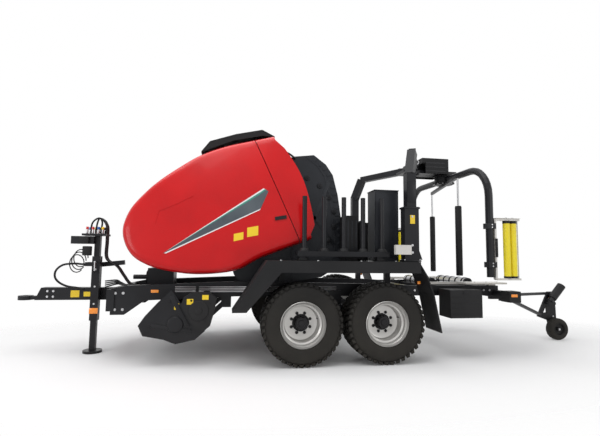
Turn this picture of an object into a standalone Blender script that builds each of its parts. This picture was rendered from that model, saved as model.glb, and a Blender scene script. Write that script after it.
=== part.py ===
"""Round baler with a bale wrapper behind it, on one towed tandem chassis.

Metres, +Z up, -X towards the tractor, -Y is the machine's left side.
The origin is the middle of the footprint, on the ground.
"""

import math

import bmesh
import bpy
from mathutils import Matrix, Vector

# ---------------------------------------------------------------- driving sizes
GAP = 0.0003  # what touching pieces keep between them

HALF_LENGTH = 4.52
HALF_WIDTH = 1.45

TYRE_RADIUS = 0.54
TYRE_WIDTH = 0.50
TYRE_OUTER_Y = 1.44
WHEELBASE = 1.147
BOGIE_X = 0.07
RIM_FLANGE_RADIUS = 0.3025
WHEEL_FACETS = 32
HUB_RADIUS = 0.12
AXLE_RADIUS = 0.055

BEAM_INNER_Y = 0.67
BEAM_OUTER_Y = 0.77
BEAM_TOP = 1.00
BEAM_BOTTOM = 0.85
REAR_X = 2.78

FENDER_INNER_Y = 1.00
FENDER_BEAM_WIDTH = 0.20
FENDER_TOP = 1.37
FENDER_DEPTH = 0.155
FENDER_SHEET = 0.02

TONGUE_WIDTH = 0.16
TONGUE_TOP = 0.92
TONGUE_BOTTOM = 0.74
EYE_OUTER = 0.10
EYE_BORE = 0.035

CHAMBER_HALF = 0.645
CHAMBER_WALL = 0.02
CHAMBER_BASE = 1.04
SPLIT_X = -0.55
GATE_PIVOT = (-0.55, 2.99)

HOOD_SPLIT_Y = 0.68
HOOD_SKIN = 0.02
DOOR_HINGE_Z = 3.26
DOOR_GAP = 0.01

HUB_X = 2.27
ARM_REACH = 1.30
ARM_TUBE = 0.055
ARM_CLAMP = 0.062
ARM_TOP = 2.80
ARM_FOOT = 1.16
ARM_BEND = 0.45

RACK_HINGE = (1.30, 1.40)
POST_COUNT = 5
POST_PITCH = 0.279
POST_FIRST_X = -0.463
POST_RADIUS = 0.033
POST_TOP = 2.26

PICKUP_PIVOT = (-1.50, 0.78)
REEL_AXIS = (-2.14, 0.53)
REEL_RADIUS = 0.15
PICKUP_HALF = 1.12

TABLE_PIVOT = (2.72, 0.965)
TABLE_TUBE = 0.035
TAIL_PIVOT = (2.90, 0.83)
TAIL_WHEEL_RADIUS = 0.19
TAIL_WHEEL_WIDTH = 0.16
TAIL_WHEEL_X = HALF_LENGTH - TAIL_WHEEL_RADIUS

SIDES = (("left", -1), ("right", 1))

# Colour, roughness and metallic value of each finish.
FINISHES = {
    "red": ((0.62, 0.025, 0.02), 0.25, 0.0),
    "black": ((0.018, 0.018, 0.02), 0.45, 0.0),
    "rubber": ((0.03, 0.028, 0.026), 0.85, 0.0),
    "silver": ((0.55, 0.54, 0.52), 0.35, 0.6),
    "steel": ((0.35, 0.35, 0.36), 0.35, 0.9),
    "yellow": ((0.85, 0.62, 0.02), 0.5, 0.0),
    "plastic": ((0.05, 0.05, 0.06), 0.6, 0.0),
    "cream": ((0.75, 0.72, 0.66), 0.5, 0.0),
}


# ---------------------------------------------------------------- scene helpers
def clear_scene():
    for obj in list(bpy.data.objects):
        bpy.data.objects.remove(obj, do_unlink=True)


def new_collection(name):
    found = bpy.data.collections.new(name)
    bpy.context.scene.collection.children.link(found)
    return found


def material(name):
    colour, roughness, metallic = FINISHES[name]
    found = bpy.data.materials.get(name)
    if found is None:
        found = bpy.data.materials.new(name)
        found.use_nodes = True
        shader = found.node_tree.nodes["Principled BSDF"]
        shader.inputs["Base Color"].default_value = (*colour, 1.0)
        shader.inputs["Roughness"].default_value = roughness
        shader.inputs["Metallic"].default_value = metallic
        found.diffuse_color = (*colour, 1.0)
    return found


def mesh_object(bm, name="piece"):
    bmesh.ops.recalc_face_normals(bm, faces=bm.faces)
    mesh = bpy.data.meshes.new(name)
    bm.to_mesh(mesh)
    bm.free()
    obj = bpy.data.objects.new(name, mesh)
    bpy.context.scene.collection.objects.link(obj)
    return obj


def baked(obj):
    """The object's evaluated shape as a plain welded mesh, in place of the object."""
    bpy.context.view_layer.update()
    graph = bpy.context.evaluated_depsgraph_get()
    mesh = bpy.data.meshes.new_from_object(obj.evaluated_get(graph))
    bm = bmesh.new()
    bm.from_mesh(mesh)
    bmesh.ops.remove_doubles(bm, verts=bm.verts, dist=1e-5)
    bmesh.ops.recalc_face_normals(bm, faces=bm.faces)
    bm.to_mesh(mesh)
    bm.free()
    made = bpy.data.objects.new(obj.name, mesh)
    made.matrix_world = obj.matrix_world
    bpy.context.scene.collection.objects.link(made)
    bpy.data.objects.remove(obj, do_unlink=True)
    return made


# ---------------------------------------------------------------- shapes
def box(low, high):
    """A block between two corners."""
    low, high = Vector(low), Vector(high)
    bm = bmesh.new()
    bmesh.ops.create_cube(bm, size=1.0)
    bmesh.ops.scale(bm, vec=high - low, verts=bm.verts)
    bmesh.ops.translate(bm, vec=(low + high) / 2, verts=bm.verts)
    return mesh_object(bm)


def bar(start, end, across, deep, roll=0.0):
    """A rectangular bar from start to end: across is level, deep is the other way."""
    start, end = Vector(start), Vector(end)
    along = end - start
    bm = bmesh.new()
    bmesh.ops.create_cube(bm, size=1.0)
    bmesh.ops.scale(bm, vec=(across, deep, along.length), verts=bm.verts)
    side = Vector((0, 0, 1)).cross(along)
    side = side.normalized() if side.length > 1e-6 else Vector((0, 1, 0))
    up = along.normalized()
    turn = Matrix((side, up.cross(side), up)).transposed().to_4x4()
    place = Matrix.Translation((start + end) / 2) @ turn @ Matrix.Rotation(roll, 4, "Z")
    bmesh.ops.transform(bm, matrix=place, verts=bm.verts)
    return mesh_object(bm)


def rod(start, end, radius, sides=16, far_radius=None):
    """A round bar, or a cone when far_radius is given."""
    start, end = Vector(start), Vector(end)
    along = end - start
    bm = bmesh.new()
    bmesh.ops.create_cone(
        bm,
        cap_ends=True,
        segments=sides,
        radius1=radius,
        radius2=radius if far_radius is None else far_radius,
        depth=along.length,
    )
    turn = along.to_track_quat("Z", "Y").to_matrix().to_4x4()
    place = Matrix.Translation((start + end) / 2) @ turn
    bmesh.ops.transform(bm, matrix=place, verts=bm.verts)
    return mesh_object(bm)


def plate(points, y_from, y_to):
    """A flat outline given as (x, z), standing between two values of y."""
    data = bpy.data.curves.new("outline", "CURVE")
    data.dimensions = "2D"
    data.fill_mode = "BOTH"
    data.extrude = abs(y_to - y_from) / 2
    spline = data.splines.new("POLY")
    spline.points.add(len(points) - 1)
    for point, (x, z) in zip(spline.points, points):
        point.co = (x, z, 0.0, 1.0)
    spline.use_cyclic_u = True
    obj = bpy.data.objects.new("outline", data)
    obj.matrix_world = Matrix.Translation((0, (y_from + y_to) / 2, 0)) @ Matrix.Rotation(
        math.pi / 2, 4, "X"
    )
    bpy.context.scene.collection.objects.link(obj)
    return baked(obj)


def tube(points, radius, ring=2):
    """A round tube through the points, with closed ends."""
    data = bpy.data.curves.new("tube", "CURVE")
    data.dimensions = "3D"
    data.bevel_depth = radius
    data.bevel_resolution = ring
    data.use_fill_caps = True
    spline = data.splines.new("POLY")
    spline.points.add(len(points) - 1)
    for point, place in zip(spline.points, points):
        point.co = (*place, 1.0)
    obj = bpy.data.objects.new("tube", data)
    bpy.context.scene.collection.objects.link(obj)
    return baked(obj)


def turned(profile, axis_point, facets):
    """A solid of revolution about a line along Y. The profile is (radius, y)."""
    mesh = bpy.data.meshes.new("profile")
    points = [(radius, 0.0, -(y - axis_point[1])) for radius, y in profile]
    mesh.from_pydata(points, [(i, i + 1) for i in range(len(points) - 1)], [])
    obj = bpy.data.objects.new("profile", mesh)
    obj.matrix_world = Matrix.Translation(axis_point) @ Matrix.Rotation(
        math.pi / 2, 4, "X"
    ) @ Matrix.Rotation(math.pi / facets, 4, "Z")
    bpy.context.scene.collection.objects.link(obj)
    screw = obj.modifiers.new("turn", "SCREW")
    screw.angle = math.tau
    screw.steps = facets
    screw.render_steps = facets
    screw.use_merge_vertices = True
    screw.merge_threshold = 0.0001
    return baked(obj)


def boolean(obj, others, operation):
    """The object joined with, or cut by, the others, which are used up."""
    for other in others:
        step = obj.modifiers.new(operation.lower(), "BOOLEAN")
        step.operation = operation
        step.solver = "EXACT"
        step.object = other
        other.hide_render = True
        other.display_type = "WIRE"
    done = baked(obj)
    for other in others:
        bpy.data.objects.remove(other, do_unlink=True)
    return done


def joined(*pieces):
    return boolean(pieces[0], pieces[1:], "UNION")


def cut(piece, *cutters):
    return boolean(piece, cutters, "DIFFERENCE")


def mirrored(point, side):
    x, y, z = point
    return (x, y * side, z)


def side_box(side, low, high):
    """A block given for the right side, put on the side asked for."""
    ys = sorted((low[1] * side, high[1] * side))
    return box((low[0], ys[0], low[2]), (high[0], ys[1], high[2]))


def arc(centre, radius, start, end, steps):
    """Points (a, b) on a circle between two angles in degrees, ends included."""
    found = []
    for step in range(steps + 1):
        angle = math.radians(start + (end - start) * step / steps)
        found.append(
            (centre[0] + radius * math.cos(angle), centre[1] + radius * math.sin(angle))
        )
    return found


# ---------------------------------------------------------------- naming and bodies
class Machine:
    """Puts finished pieces in the collection and hangs moving ones on an empty."""

    def __init__(self):
        self.collection = new_collection("round_baler_wrapper")

    def axis(self, name, place):
        empty = bpy.data.objects.new(name, None)
        empty.location = place
        empty.empty_display_size = 0.2
        self.collection.objects.link(empty)
        bpy.context.view_layer.update()
        return empty

    def add(self, name, finish, obj, parent=None):
        obj.name = name
        obj.data.name = name
        obj.data.materials.clear()
        obj.data.materials.append(material(finish))
        for owner in list(obj.users_collection):
            owner.objects.unlink(obj)
        self.collection.objects.link(obj)
        if parent is not None:
            obj.parent = parent
            obj.matrix_parent_inverse = parent.matrix_world.inverted()
        return obj


# ---------------------------------------------------------------- chassis
def side_beam(side):
    outline = [
        (-3.04, 0.61),
        (-2.86, 0.61),
        (-2.60, 0.80),
        (-1.37, BEAM_BOTTOM),
        (REAR_X - 0.03, BEAM_BOTTOM),
        (REAR_X - 0.03, BEAM_TOP),
        (1.30, BEAM_TOP),
        (1.00, 1.02),
        (-1.37, 1.06),
        (-2.84, 1.00),
        (-3.04, 0.96),
    ]
    ys = sorted((BEAM_INNER_Y * side, BEAM_OUTER_Y * side))
    return plate(outline, *ys)


def outriggers(side):
    """Arms that carry the fenders and guards: x from, x to, z from, z to, reach."""
    fender = HALF_WIDTH - FENDER_BEAM_WIDTH - GAP
    arms = (
        (-1.80, -1.72, 0.87, 0.94, 1.17 - GAP),
        (-1.19, -1.10, 0.88, 0.98, fender),
        (-0.76, -0.66, 1.225, 1.335, fender),
        (0.86, 0.96, 1.225, 1.335, fender),
    )
    found = []
    for x0, x1, z0, z1, reach in arms:
        found.append(side_box(side, (x0, 0.70, z0), (x1, reach, z1)))
        if z0 > BEAM_TOP:
            found.append(side_box(side, (x0 + 0.01, 0.68, 0.96), (x1 - 0.01, 0.76, z1 - 0.01)))
    return found


def frame_lugs(side):
    """Plates under a beam that hold the pickup's pivot."""
    x, z = PICKUP_PIVOT
    return side_box(side, (x - 0.07, BEAM_INNER_Y + 0.005, z - 0.08), (x + 0.07, 0.765, 0.88))


def main_frame(machine):
    crosses = (
        (-3.09, -0.79, 0.66, -2.99, 0.79, 0.95),
        (-2.75, -0.70, 0.885, -2.25, 0.70, 0.925),
        (-1.06, -0.70, 0.95, -0.90, 0.70, CHAMBER_BASE - GAP),
        (-0.03, -0.79, 0.49, 0.17, 0.79, 0.93),
        (1.30, -0.70, 0.87, 1.40, 0.70, 0.98),
        (REAR_X - 0.12, -1.05, 0.82, REAR_X, 1.05, TABLE_PIVOT[1] - TABLE_TUBE),
    )
    pieces = [side_beam(-1), side_beam(1)]
    pieces += [box(c[:3], c[3:]) for c in crosses]
    for _, side in SIDES:
        pieces += outriggers(side)
        pieces.append(frame_lugs(side))
    for y0, y1 in ((-0.87, -0.80 - GAP), (-0.60 + GAP, -0.53)):
        pieces.append(box((REAR_X - 0.05, y0, 0.77), (TAIL_PIVOT[0] + 0.06, y1, 0.89)))
    machine.add("main_frame", "black", joined(*pieces))


def drawbar(machine):
    half = TONGUE_WIDTH / 2
    top, low = TONGUE_TOP, TONGUE_BOTTOM
    body = plate([(-4.27, low), (-3.09 - GAP, low), (-3.09 - GAP, top), (-4.19, top)], -half, half)
    eye_x = -HALF_LENGTH + EYE_OUTER
    neck = box((eye_x + 0.05, -0.05, low + 0.005), (-4.20, 0.05, low + 0.055))
    ring = rod((eye_x, 0, low), (eye_x, 0, low + 0.06), EYE_OUTER, 24)
    bore = rod((eye_x, 0, low - 0.05), (eye_x, 0, low + 0.11), EYE_BORE, 16)
    machine.add("drawbar", "black", cut(joined(body, neck, ring), bore))


def jack(machine):
    x, y = -3.40, -0.20
    pieces = [
        box((x - 0.055, y - 0.055, 0.46), (x + 0.055, y + 0.055, 1.39)),
        box((x - 0.04, y - 0.04, 0.02), (x + 0.04, y + 0.04, 0.50)),
        rod((x, y, 0.0), (x, y, 0.035), 0.13, 20),
        box((x - 0.045, y + 0.05, 0.76), (x + 0.045, -TONGUE_WIDTH / 2 - GAP, 0.90)),
    ]
    machine.add("parking_jack", "black", joined(*pieces))


def hose_stand(machine):
    pieces = [
        box((-3.50, -0.04, TONGUE_TOP + GAP), (-3.42, 0.04, 1.72)),
        box((-3.66, -0.13, 1.70), (-3.32, 0.13, 1.73)),
        box((-3.60, -0.10, 1.24), (-3.36, 0.10, 1.30)),
        box((-3.82, -0.09, 1.575), (-3.495, 0.05, 1.69)),
        bar((-3.43, 0.0, 1.26), (-3.06, 0.0, 1.30), 0.06, 0.07),
    ]
    machine.add("hose_stand", "black", joined(*pieces))


def fender(machine, name, side):
    """A box beam over both wheels, with its front strut, a top sheet and a rear flap."""
    top, low = FENDER_TOP, FENDER_TOP - FENDER_DEPTH
    outer = [(-1.42, 0.71), (-0.99, top), (1.12, top), (1.12, low), (-0.80, low), (-1.24, 0.71)]
    flap = [(1.10, top), (1.22, 1.18), (1.31, 0.94), (1.42, 0.41)]
    sheet = [(-1.42, 0.71), (-0.99, top), *flap]
    under = [(x - FENDER_SHEET, z) for x, z in reversed(flap)]
    under[-1] = (1.10, top - FENDER_SHEET)
    under += [(-0.98, top - FENDER_SHEET), (-1.40, 0.71)]
    y_out = HALF_WIDTH * side
    y_beam = (HALF_WIDTH - FENDER_BEAM_WIDTH) * side
    y_in = FENDER_INNER_Y * side
    beam = plate(outer, *sorted((y_out, y_beam)))
    skin = plate(sheet + under, *sorted((y_out - 0.003 * side, y_in)))
    machine.add("fender_" + name, "black", joined(beam, skin))


def bogie(machine, name, side):
    """The rocking beam between a side's two wheels, with its stub axles."""
    reach = WHEELBASE / 2
    inner = TYRE_OUTER_Y - 0.38 - GAP
    z = TYRE_RADIUS
    pieces = [
        side_box(
            side,
            (BOGIE_X - reach - 0.09, 0.79 + GAP, z - 0.08),
            (BOGIE_X + reach + 0.09, 0.90, z + 0.08),
        ),
        side_box(side, (BOGIE_X - 0.12, 0.795, z - 0.02), (BOGIE_X + 0.12, 0.93, z + 0.20)),
    ]
    for end in (-1, 1):
        x = BOGIE_X + end * reach
        pieces.append(rod((x, 0.85 * side, z), (x, inner * side, z), AXLE_RADIUS, 16))
    machine.add("bogie_" + name, "black", joined(*pieces))


def wheel_profile(side):
    """Tyre, rim, disc and hub in one section: radius, distance in from the outer wall."""
    tread = TYRE_RADIUS / math.cos(math.pi / WHEEL_FACETS)
    flange = RIM_FLANGE_RADIUS
    section = (
        (0.0, 0.14),
        (0.085, 0.14),
        (0.09, 0.235),
        (0.22, 0.235),
        (0.245, 0.12),
        (0.262, 0.05),
        (flange, 0.015),
        (0.36, 0.0),
        (0.47, 0.004),
        (0.525, 0.05),
        (tread, 0.10),
        (tread, TYRE_WIDTH - 0.10),
        (0.525, TYRE_WIDTH - 0.05),
        (0.47, TYRE_WIDTH - 0.004),
        (0.36, TYRE_WIDTH),
        (flange, TYRE_WIDTH - 0.015),
        (0.262, TYRE_WIDTH - 0.05),
        (0.24, 0.26),
        (HUB_RADIUS, 0.255),
        (HUB_RADIUS, 0.38),
        (0.0, 0.38),
    )
    return [(radius, side * (TYRE_OUTER_Y - depth)) for radius, depth in section]


def wheels(machine):
    for row, end in (("front", -1), ("rear", 1)):
        for name, side in SIDES:
            centre = (BOGIE_X + end * WHEELBASE / 2, 0.0, TYRE_RADIUS)
            hub = machine.axis(f"axle_{row}_{name}", centre)
            shape = turned(wheel_profile(side), centre, WHEEL_FACETS)
            machine.add(f"wheel_{row}_{name}", "rubber", shape, hub)


# ---------------------------------------------------------------- baler body
def chamber_walls(machine):
    """The fixed front half of the bale chamber, open behind and at the crop inlet."""
    outline = [
        (SPLIT_X, 2.93),
        (-1.05, 2.93),
        (-1.38, 2.66),
        (-1.57, 2.20),
        (-1.54, 1.60),
        (-1.40, 1.15),
        (-1.30, CHAMBER_BASE),
        (SPLIT_X, CHAMBER_BASE),
    ]
    inside = [(SPLIT_X + 0.1, 2.90)]
    inside += arc((-0.66, 2.02), 0.87, 90, 225, 9)
    inside += [(SPLIT_X + 0.1, 1.08)]
    shell = plate(outline, -CHAMBER_HALF, CHAMBER_HALF)
    space = plate(inside, -CHAMBER_HALF + CHAMBER_WALL, CHAMBER_HALF - CHAMBER_WALL)
    inlet = box((-1.60, -0.56, 1.0), (-1.16, 0.56, 1.36))
    seat = inset(HOOD_OUTLINE[:3], HOOD_SKIN + GAP)[:2]
    rib = [*seat, (-1.20, 2.80), (-0.90, 2.91)]
    ribs = [plate(rib, y - 0.02, y + 0.02) for y in (-0.45, 0.45)]
    body = joined(shell, *ribs)
    machine.add("chamber_front", "black", cut(body, space, inlet))


def tailgate(machine):
    """The rear half of the chamber, which swings up about its top edge."""
    x = SPLIT_X + GAP
    outline = [
        (x, 2.94),
        (-0.23, 2.98),
        (-0.04, 2.84),
        (0.07, 2.68),
        (0.15, 2.37),
        (0.24, 1.76),
        (0.24, 1.50),
        (0.14, 1.27),
        (-0.10, 1.12),
        (x, 1.05),
    ]
    inside = [(x - 0.1, 2.90), (-0.56, 2.88)]
    inside += arc((-0.56, 2.0), 0.76, 78, -78, 9)
    inside += [(-0.56, 1.12), (x - 0.1, 1.10)]
    axis = machine.axis("tailgate_axis", (GATE_PIVOT[0], 0.0, GATE_PIVOT[1]))
    shell = plate(outline, -CHAMBER_HALF - 0.01, CHAMBER_HALF + 0.01)
    space = plate(inside, -CHAMBER_HALF + CHAMBER_WALL, CHAMBER_HALF - CHAMBER_WALL)
    machine.add("tailgate", "black", cut(shell, space), axis)


# The hood seen from the side, from the rear of its roof round the nose to its rear foot.
HOOD_OUTLINE = (
    (-0.87, 3.22),
    (-1.22, 3.13),
    (-1.58, 3.03),
    (-1.93, 2.88),
    (-2.20, 2.70),
    (-2.47, 2.49),
    (-2.66, 2.30),
    (-2.84, 2.06),
    (-2.92, 1.80),
    (-2.88, 1.58),
    (-2.76, 1.40),
    (-2.58, 1.29),
    (-2.36, 1.22),
    (-1.98, 1.165),
    (-1.59, 1.18),
    (-1.32, 1.24),
    (-1.02, 1.40),
    (-0.33, 1.66),
)
NOSE_END = 11  # the last outline point that the nose has all across
HOOD_REAR = ((-0.30, 1.87), (-0.34, 2.12), (-0.42, 2.46), (-0.54, 2.74), (-0.71, 3.01))


def hood_half_width(x, z):
    """The side face is one sloping plane: wide at the foot and the rear."""
    return 1.12 - 0.19 * (z - 1.3) + 0.07 * (x + 1.5)


def roof_height(x):
    """The height of the roof's outside on the middle plane."""
    for (x0, z0), (x1, z1) in zip(HOOD_OUTLINE, HOOD_OUTLINE[1:]):
        if x1 <= x <= x0:
            return z0 + (z1 - z0) * (x - x0) / (x1 - x0)
    return None


def inset(points, distance):
    """An open line moved towards its inner side."""
    found = []
    last = len(points) - 1
    for i, (x, z) in enumerate(points):
        before, after = points[max(i - 1, 0)], points[min(i + 1, last)]
        dx, dz = after[0] - before[0], after[1] - before[1]
        length = math.hypot(dx, dz)
        found.append((x - dz / length * distance, z + dx / length * distance))
    return found


def hood_surface():
    """The left half as an open sheet: roof and lip rings, then the flat side."""
    rings = (
        # share of the half width, distance in from the outline
        (0.0, 0.0),
        (0.70, 0.0),
        (0.90, 0.005),
        (0.97, 0.025),
        (1.0, 0.07),
    )
    bm = bmesh.new()
    rows = []
    for share, distance in rings:
        row = []
        for x, z in inset(HOOD_OUTLINE, distance):
            y = -hood_half_width(x, z) * share
            row.append(bm.verts.new((x, y, z)))
        rows.append(row)
    for ring, (first, second) in enumerate(zip(rows, rows[1:])):
        for i in range(len(first) - 1 if ring > 1 else NOSE_END):
            bm.faces.new((first[i], first[i + 1], second[i + 1], second[i]))
    loose = [vert for vert in bm.verts if not vert.link_faces]
    rear = [bm.verts.new((x, -hood_half_width(x, z), z)) for x, z in HOOD_REAR]
    bm.faces.new([*rows[-1], *rear])
    bmesh.ops.delete(bm, geom=[v for v in loose if not v.link_faces], context="VERTS")
    return mesh_object(bm, "hood")


def hood_shell():
    obj = hood_surface()
    mirror = obj.modifiers.new("mirror", "MIRROR")
    mirror.use_axis = (False, True, False)
    mirror.use_clip = True
    mirror.merge_threshold = 0.0001
    skin = obj.modifiers.new("skin", "SOLIDIFY")
    skin.thickness = HOOD_SKIN
    skin.offset = -1.0
    skin.use_even_offset = False
    return baked(obj)


def hood_front_region(y_from, y_to, back=0.0):
    """A block of all that lies ahead of the fixed rear band, or further ahead by back."""
    foot, head = -0.52 - back, -1.19 - back
    outline = [(-3.2, 0.9), (foot, 0.9), (foot, 1.67), (head, 3.24), (head, 3.6), (-3.2, 3.6)]
    return plate(outline, y_from, y_to)


def hood(machine):
    """A fixed roof and rear band, and a side door on each side that opens upwards."""
    doors = [hood_front_region(*sorted((HOOD_SPLIT_Y * s, 1.4 * s))) for _, s in SIDES]
    machine.add("hood_roof", "red", cut(hood_shell(), *doors))
    for name, side in SIDES:
        ys = sorted(((HOOD_SPLIT_Y + 0.0005) * side, 1.4 * side))
        region = hood_front_region(*ys, DOOR_GAP)
        door = boolean(hood_shell(), [region], "INTERSECT")
        axis = machine.axis(f"side_door_{name}_axis", (-1.8, HOOD_SPLIT_Y * side, DOOR_HINGE_Z))
        machine.add("side_door_" + name, "red", door, axis)


def spoiler(machine):
    """A raised sheet over the roof on four short feet."""
    top = [(-1.92, 2.95), (-1.80, 3.11), (-1.42, 3.24), (-1.03, 3.33), (-0.84, 3.24)]
    sheet = top + [(x, z - 0.02) for x, z in reversed(top)]
    skirt = [(x, z - 0.01) for x, z in top] + [(-1.02, 3.24), (-1.45, 3.14), (-1.78, 3.00)]
    half = HOOD_SPLIT_Y - 0.03
    pieces = [plate(sheet, -half, half)]
    for _, side in SIDES:
        pieces.append(plate(skirt, *sorted(((half - 0.001) * side, (half - 0.02) * side))))
    for _, side in SIDES:
        for x0, x1, head in ((-1.65, -1.59, 3.15), (-1.08, -1.02, 3.30)):
            foot = [(x, roof_height(x) + GAP) for x in (x0, x1)]
            pieces.append(plate([*foot, (x1, head), (x0, head)], *sorted((0.30 * side, 0.34 * side))))
    machine.add("roof_spoiler", "black", joined(*pieces))


# ---------------------------------------------------------------- pickup and drive
def pickup(machine):
    x, z = PICKUP_PIVOT
    axis = machine.axis("pickup_axis", (x, 0.0, z))
    outline = [
        (-2.60, 0.52),
        (-2.52, 0.64),
        (-2.36, 0.82),
        (-2.20, 0.97),
        (-2.09, 0.81),
        (-1.86, 0.55),
        (-1.76, 0.44),
        (-1.89, 0.33),
        (-2.13, 0.28),
        (-2.28, 0.34),
        (-2.54, 0.39),
    ]
    pieces = [box((-1.92, -PICKUP_HALF - 0.01, 0.40), (-1.84, PICKUP_HALF + 0.01, 0.47))]
    pieces.append(rod((-2.50, -PICKUP_HALF - 0.01, 0.50), (-2.50, PICKUP_HALF + 0.01, 0.50), 0.085, 16))
    for _, side in SIDES:
        pieces.append(plate(outline, *sorted((PICKUP_HALF * side, (PICKUP_HALF + 0.02) * side))))
        pieces.append(
            bar((-1.88, 0.635 * side, 0.43), (x, 0.635 * side, z), 0.055, 0.07)
        )
        ends = sorted((0.605 * side, (BEAM_INNER_Y + 0.005 - GAP) * side))
        pieces.append(rod((x, ends[0], z), (x, ends[1], z), 0.055, 16))
    machine.add("pickup_frame", "black", joined(*pieces), axis)


def pickup_reel(machine):
    """The tine drum: plain bands between discs, on the pickup."""
    x, z = REEL_AXIS
    half = PICKUP_HALF - GAP
    axis = machine.axis("reel_axis", (x, 0.0, z))
    drum = rod((x, -half, z), (x, half, z), 0.055, 16)
    bands = [rod((x, y - 0.03, z), (x, y + 0.03, z), REEL_RADIUS, 16) for y in (-0.9, -0.45, 0.0, 0.45, 0.9)]
    machine.add("pickup_reel", "steel", joined(drum, *bands), axis)


def drive_guard(machine, name, side):
    outline = [
        (-2.06, 0.80),
        (-2.03, 0.89),
        (-1.93, 0.95),
        (-1.71, 0.95),
        (-1.62, 0.88),
        (-1.64, 0.72),
        (-1.69, 0.53),
        (-1.77, 0.46),
        (-1.88, 0.50),
        (-1.98, 0.65),
    ]
    shape = plate(outline, *sorted((1.17 * side, 1.28 * side)))
    machine.add("drive_guard_" + name, "plastic", shape)


def gearbox(machine):
    low = 0.925 + GAP
    pieces = [
        box((-2.68, -0.19, low), (-2.30, 0.19, 1.22)),
        rod((-2.92, 0, 1.08), (-2.66, 0, 1.08), 0.035, 12),
        rod((-2.72, 0, 1.08), (-2.66, 0, 1.08), 0.10, 16),
    ]
    machine.add("gearbox", "black", joined(*pieces))


# ---------------------------------------------------------------- wrapper
def gantry(machine):
    """Two cranked legs on the fenders, and beams that meet over the bale."""
    pieces = [
        box((1.45, -0.17, 2.885), (HUB_X + 0.16, 0.17, 2.935)),
        box((1.55, -0.09, 2.92), (HUB_X - 0.02, 0.09, 3.04)),
    ]
    for _, side in SIDES:
        foot = (1.025, 1.31, FENDER_TOP + GAP)
        knee = (1.03, 1.31, 2.60)
        peak = (1.14, 1.17, 2.975)
        hub = (1.70, 0.06, 2.985)
        pieces.append(side_box(side, (0.92, 1.24, foot[2]), (1.13, 1.38, 2.14)))
        pieces.append(side_box(side, (0.96, 1.25, 2.10), (1.10, 1.37, knee[2] + 0.03)))
        pieces.append(bar(mirrored(knee, side), mirrored(peak, side), 0.118, 0.136))
        pieces.append(bar(mirrored(peak, side), mirrored(hub, side), 0.10, 0.11))
    machine.add("gantry", "black", joined(*pieces))


def hub_cover(machine):
    outer = box((1.74, -0.28, 2.868), (2.22, 0.28, 3.13))
    inner = box((1.60, -0.265, 2.70), (2.205, 0.265, 3.115))
    notch = box((2.15, -0.19, 2.70), (2.30, 0.19, 3.05))
    slots = [side_box(side, (1.60, 0.0, 2.70), (1.80, 0.35, 3.05)) for _, side in SIDES]
    tabs = box((1.745, -0.275, 3.04 + GAP), (1.82, 0.275, 3.12))
    machine.add("hub_cover", "plastic", joined(cut(outer, inner, notch, *slots), tabs))


def arm_path(side):
    """One satellite arm, out from the hub and down, in machine coordinates."""
    bend = ARM_REACH - ARM_BEND
    curve = arc((bend, ARM_TOP - ARM_BEND), ARM_BEND, 90, 0, 8)
    line = [(0.05, ARM_TOP), *curve, (ARM_REACH, ARM_FOOT)]
    return [(HUB_X, side * reach, z) for reach, z in line]


def satellite(machine):
    """The turning hub with two bent arms and two hanging safety bars."""
    axis = machine.axis("satellite_axis", (HUB_X, 0.0, ARM_TOP))
    pieces = [
        rod((HUB_X, 0, 2.72), (HUB_X, 0, 2.885 - GAP), 0.15, 24),
        bar((HUB_X - 0.235, -0.875, 2.705), (HUB_X + 0.235, 0.875, 2.705), 0.05, 0.05),
    ]
    for side in (-1, 1):
        pieces.append(tube(arm_path(side), ARM_TUBE, 3))
        for z in (1.30, 1.86):
            reach = ARM_REACH * side
            low = (HUB_X - ARM_CLAMP, reach - ARM_CLAMP, z)
            pieces.append(box(low, (HUB_X + ARM_CLAMP, reach + ARM_CLAMP, z + 0.08)))
        x, y = HUB_X + 0.23 * side, 0.86 * side
        pieces.append(rod((x, y, 2.20), (x, y, 2.70), 0.014, 8))
        pieces.append(rod((x, y, ARM_FOOT), (x, y, 2.24), 0.045, 12))
    machine.add("satellite_arms", "black", joined(*pieces), axis)
    for name, side in (("front", 1), ("rear", -1)):
        film_unit(machine, "film_unit_" + name, side, axis)


def film_unit(machine, name, side, axis):
    """A bracket beside an arm with its two stretch rollers."""
    y = ARM_REACH

    def block(low, high):
        xs = sorted((HUB_X - side * low[0], HUB_X - side * high[0]))
        return side_box(side, (xs[0], low[1], low[2]), (xs[1], high[1], high[2]))

    def column(x, dy, low, high, radius):
        place = (HUB_X - side * x, side * (y + dy))
        return rod((*place, low), (*place, high), radius, 14)

    start = ARM_CLAMP + GAP
    pieces = [
        block((start, y - 0.03, 1.13), (0.09, y + 0.03, 2.01)),
        block((0.08, y - 0.05, 1.985), (0.465, y + 0.035, 2.015)),
        block((0.08, y - 0.05, 1.125), (0.465, y + 0.035, 1.145)),
        column(0.27, 0.0, 1.14, 1.99, 0.048),
        column(0.382, -0.012, 1.14, 1.99, 0.048),
        column(0.45, 0.0, 1.14, 1.99, 0.008),
    ]
    machine.add(name, "yellow", joined(*pieces), axis)


def wrap_deck(machine, name, side):
    """A fixed side of the rear deck: a runner on feet, and a plate behind it."""
    z = 1.0 + GAP
    pieces = [
        side_box(side, (1.46, 0.68, z + 0.02), (REAR_X - 0.05, 0.76, z + 0.055)),
        side_box(side, (2.06, 0.70, 1.035), (2.76, 0.98, 1.06)),
        side_box(side, (1.50, 0.69, z), (1.62, 0.75, z + 0.04)),
        side_box(side, (2.60, 0.69, z), (2.72, 0.75, z + 0.04)),
    ]
    machine.add("wrap_deck_" + name, "cream", joined(*pieces))


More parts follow.
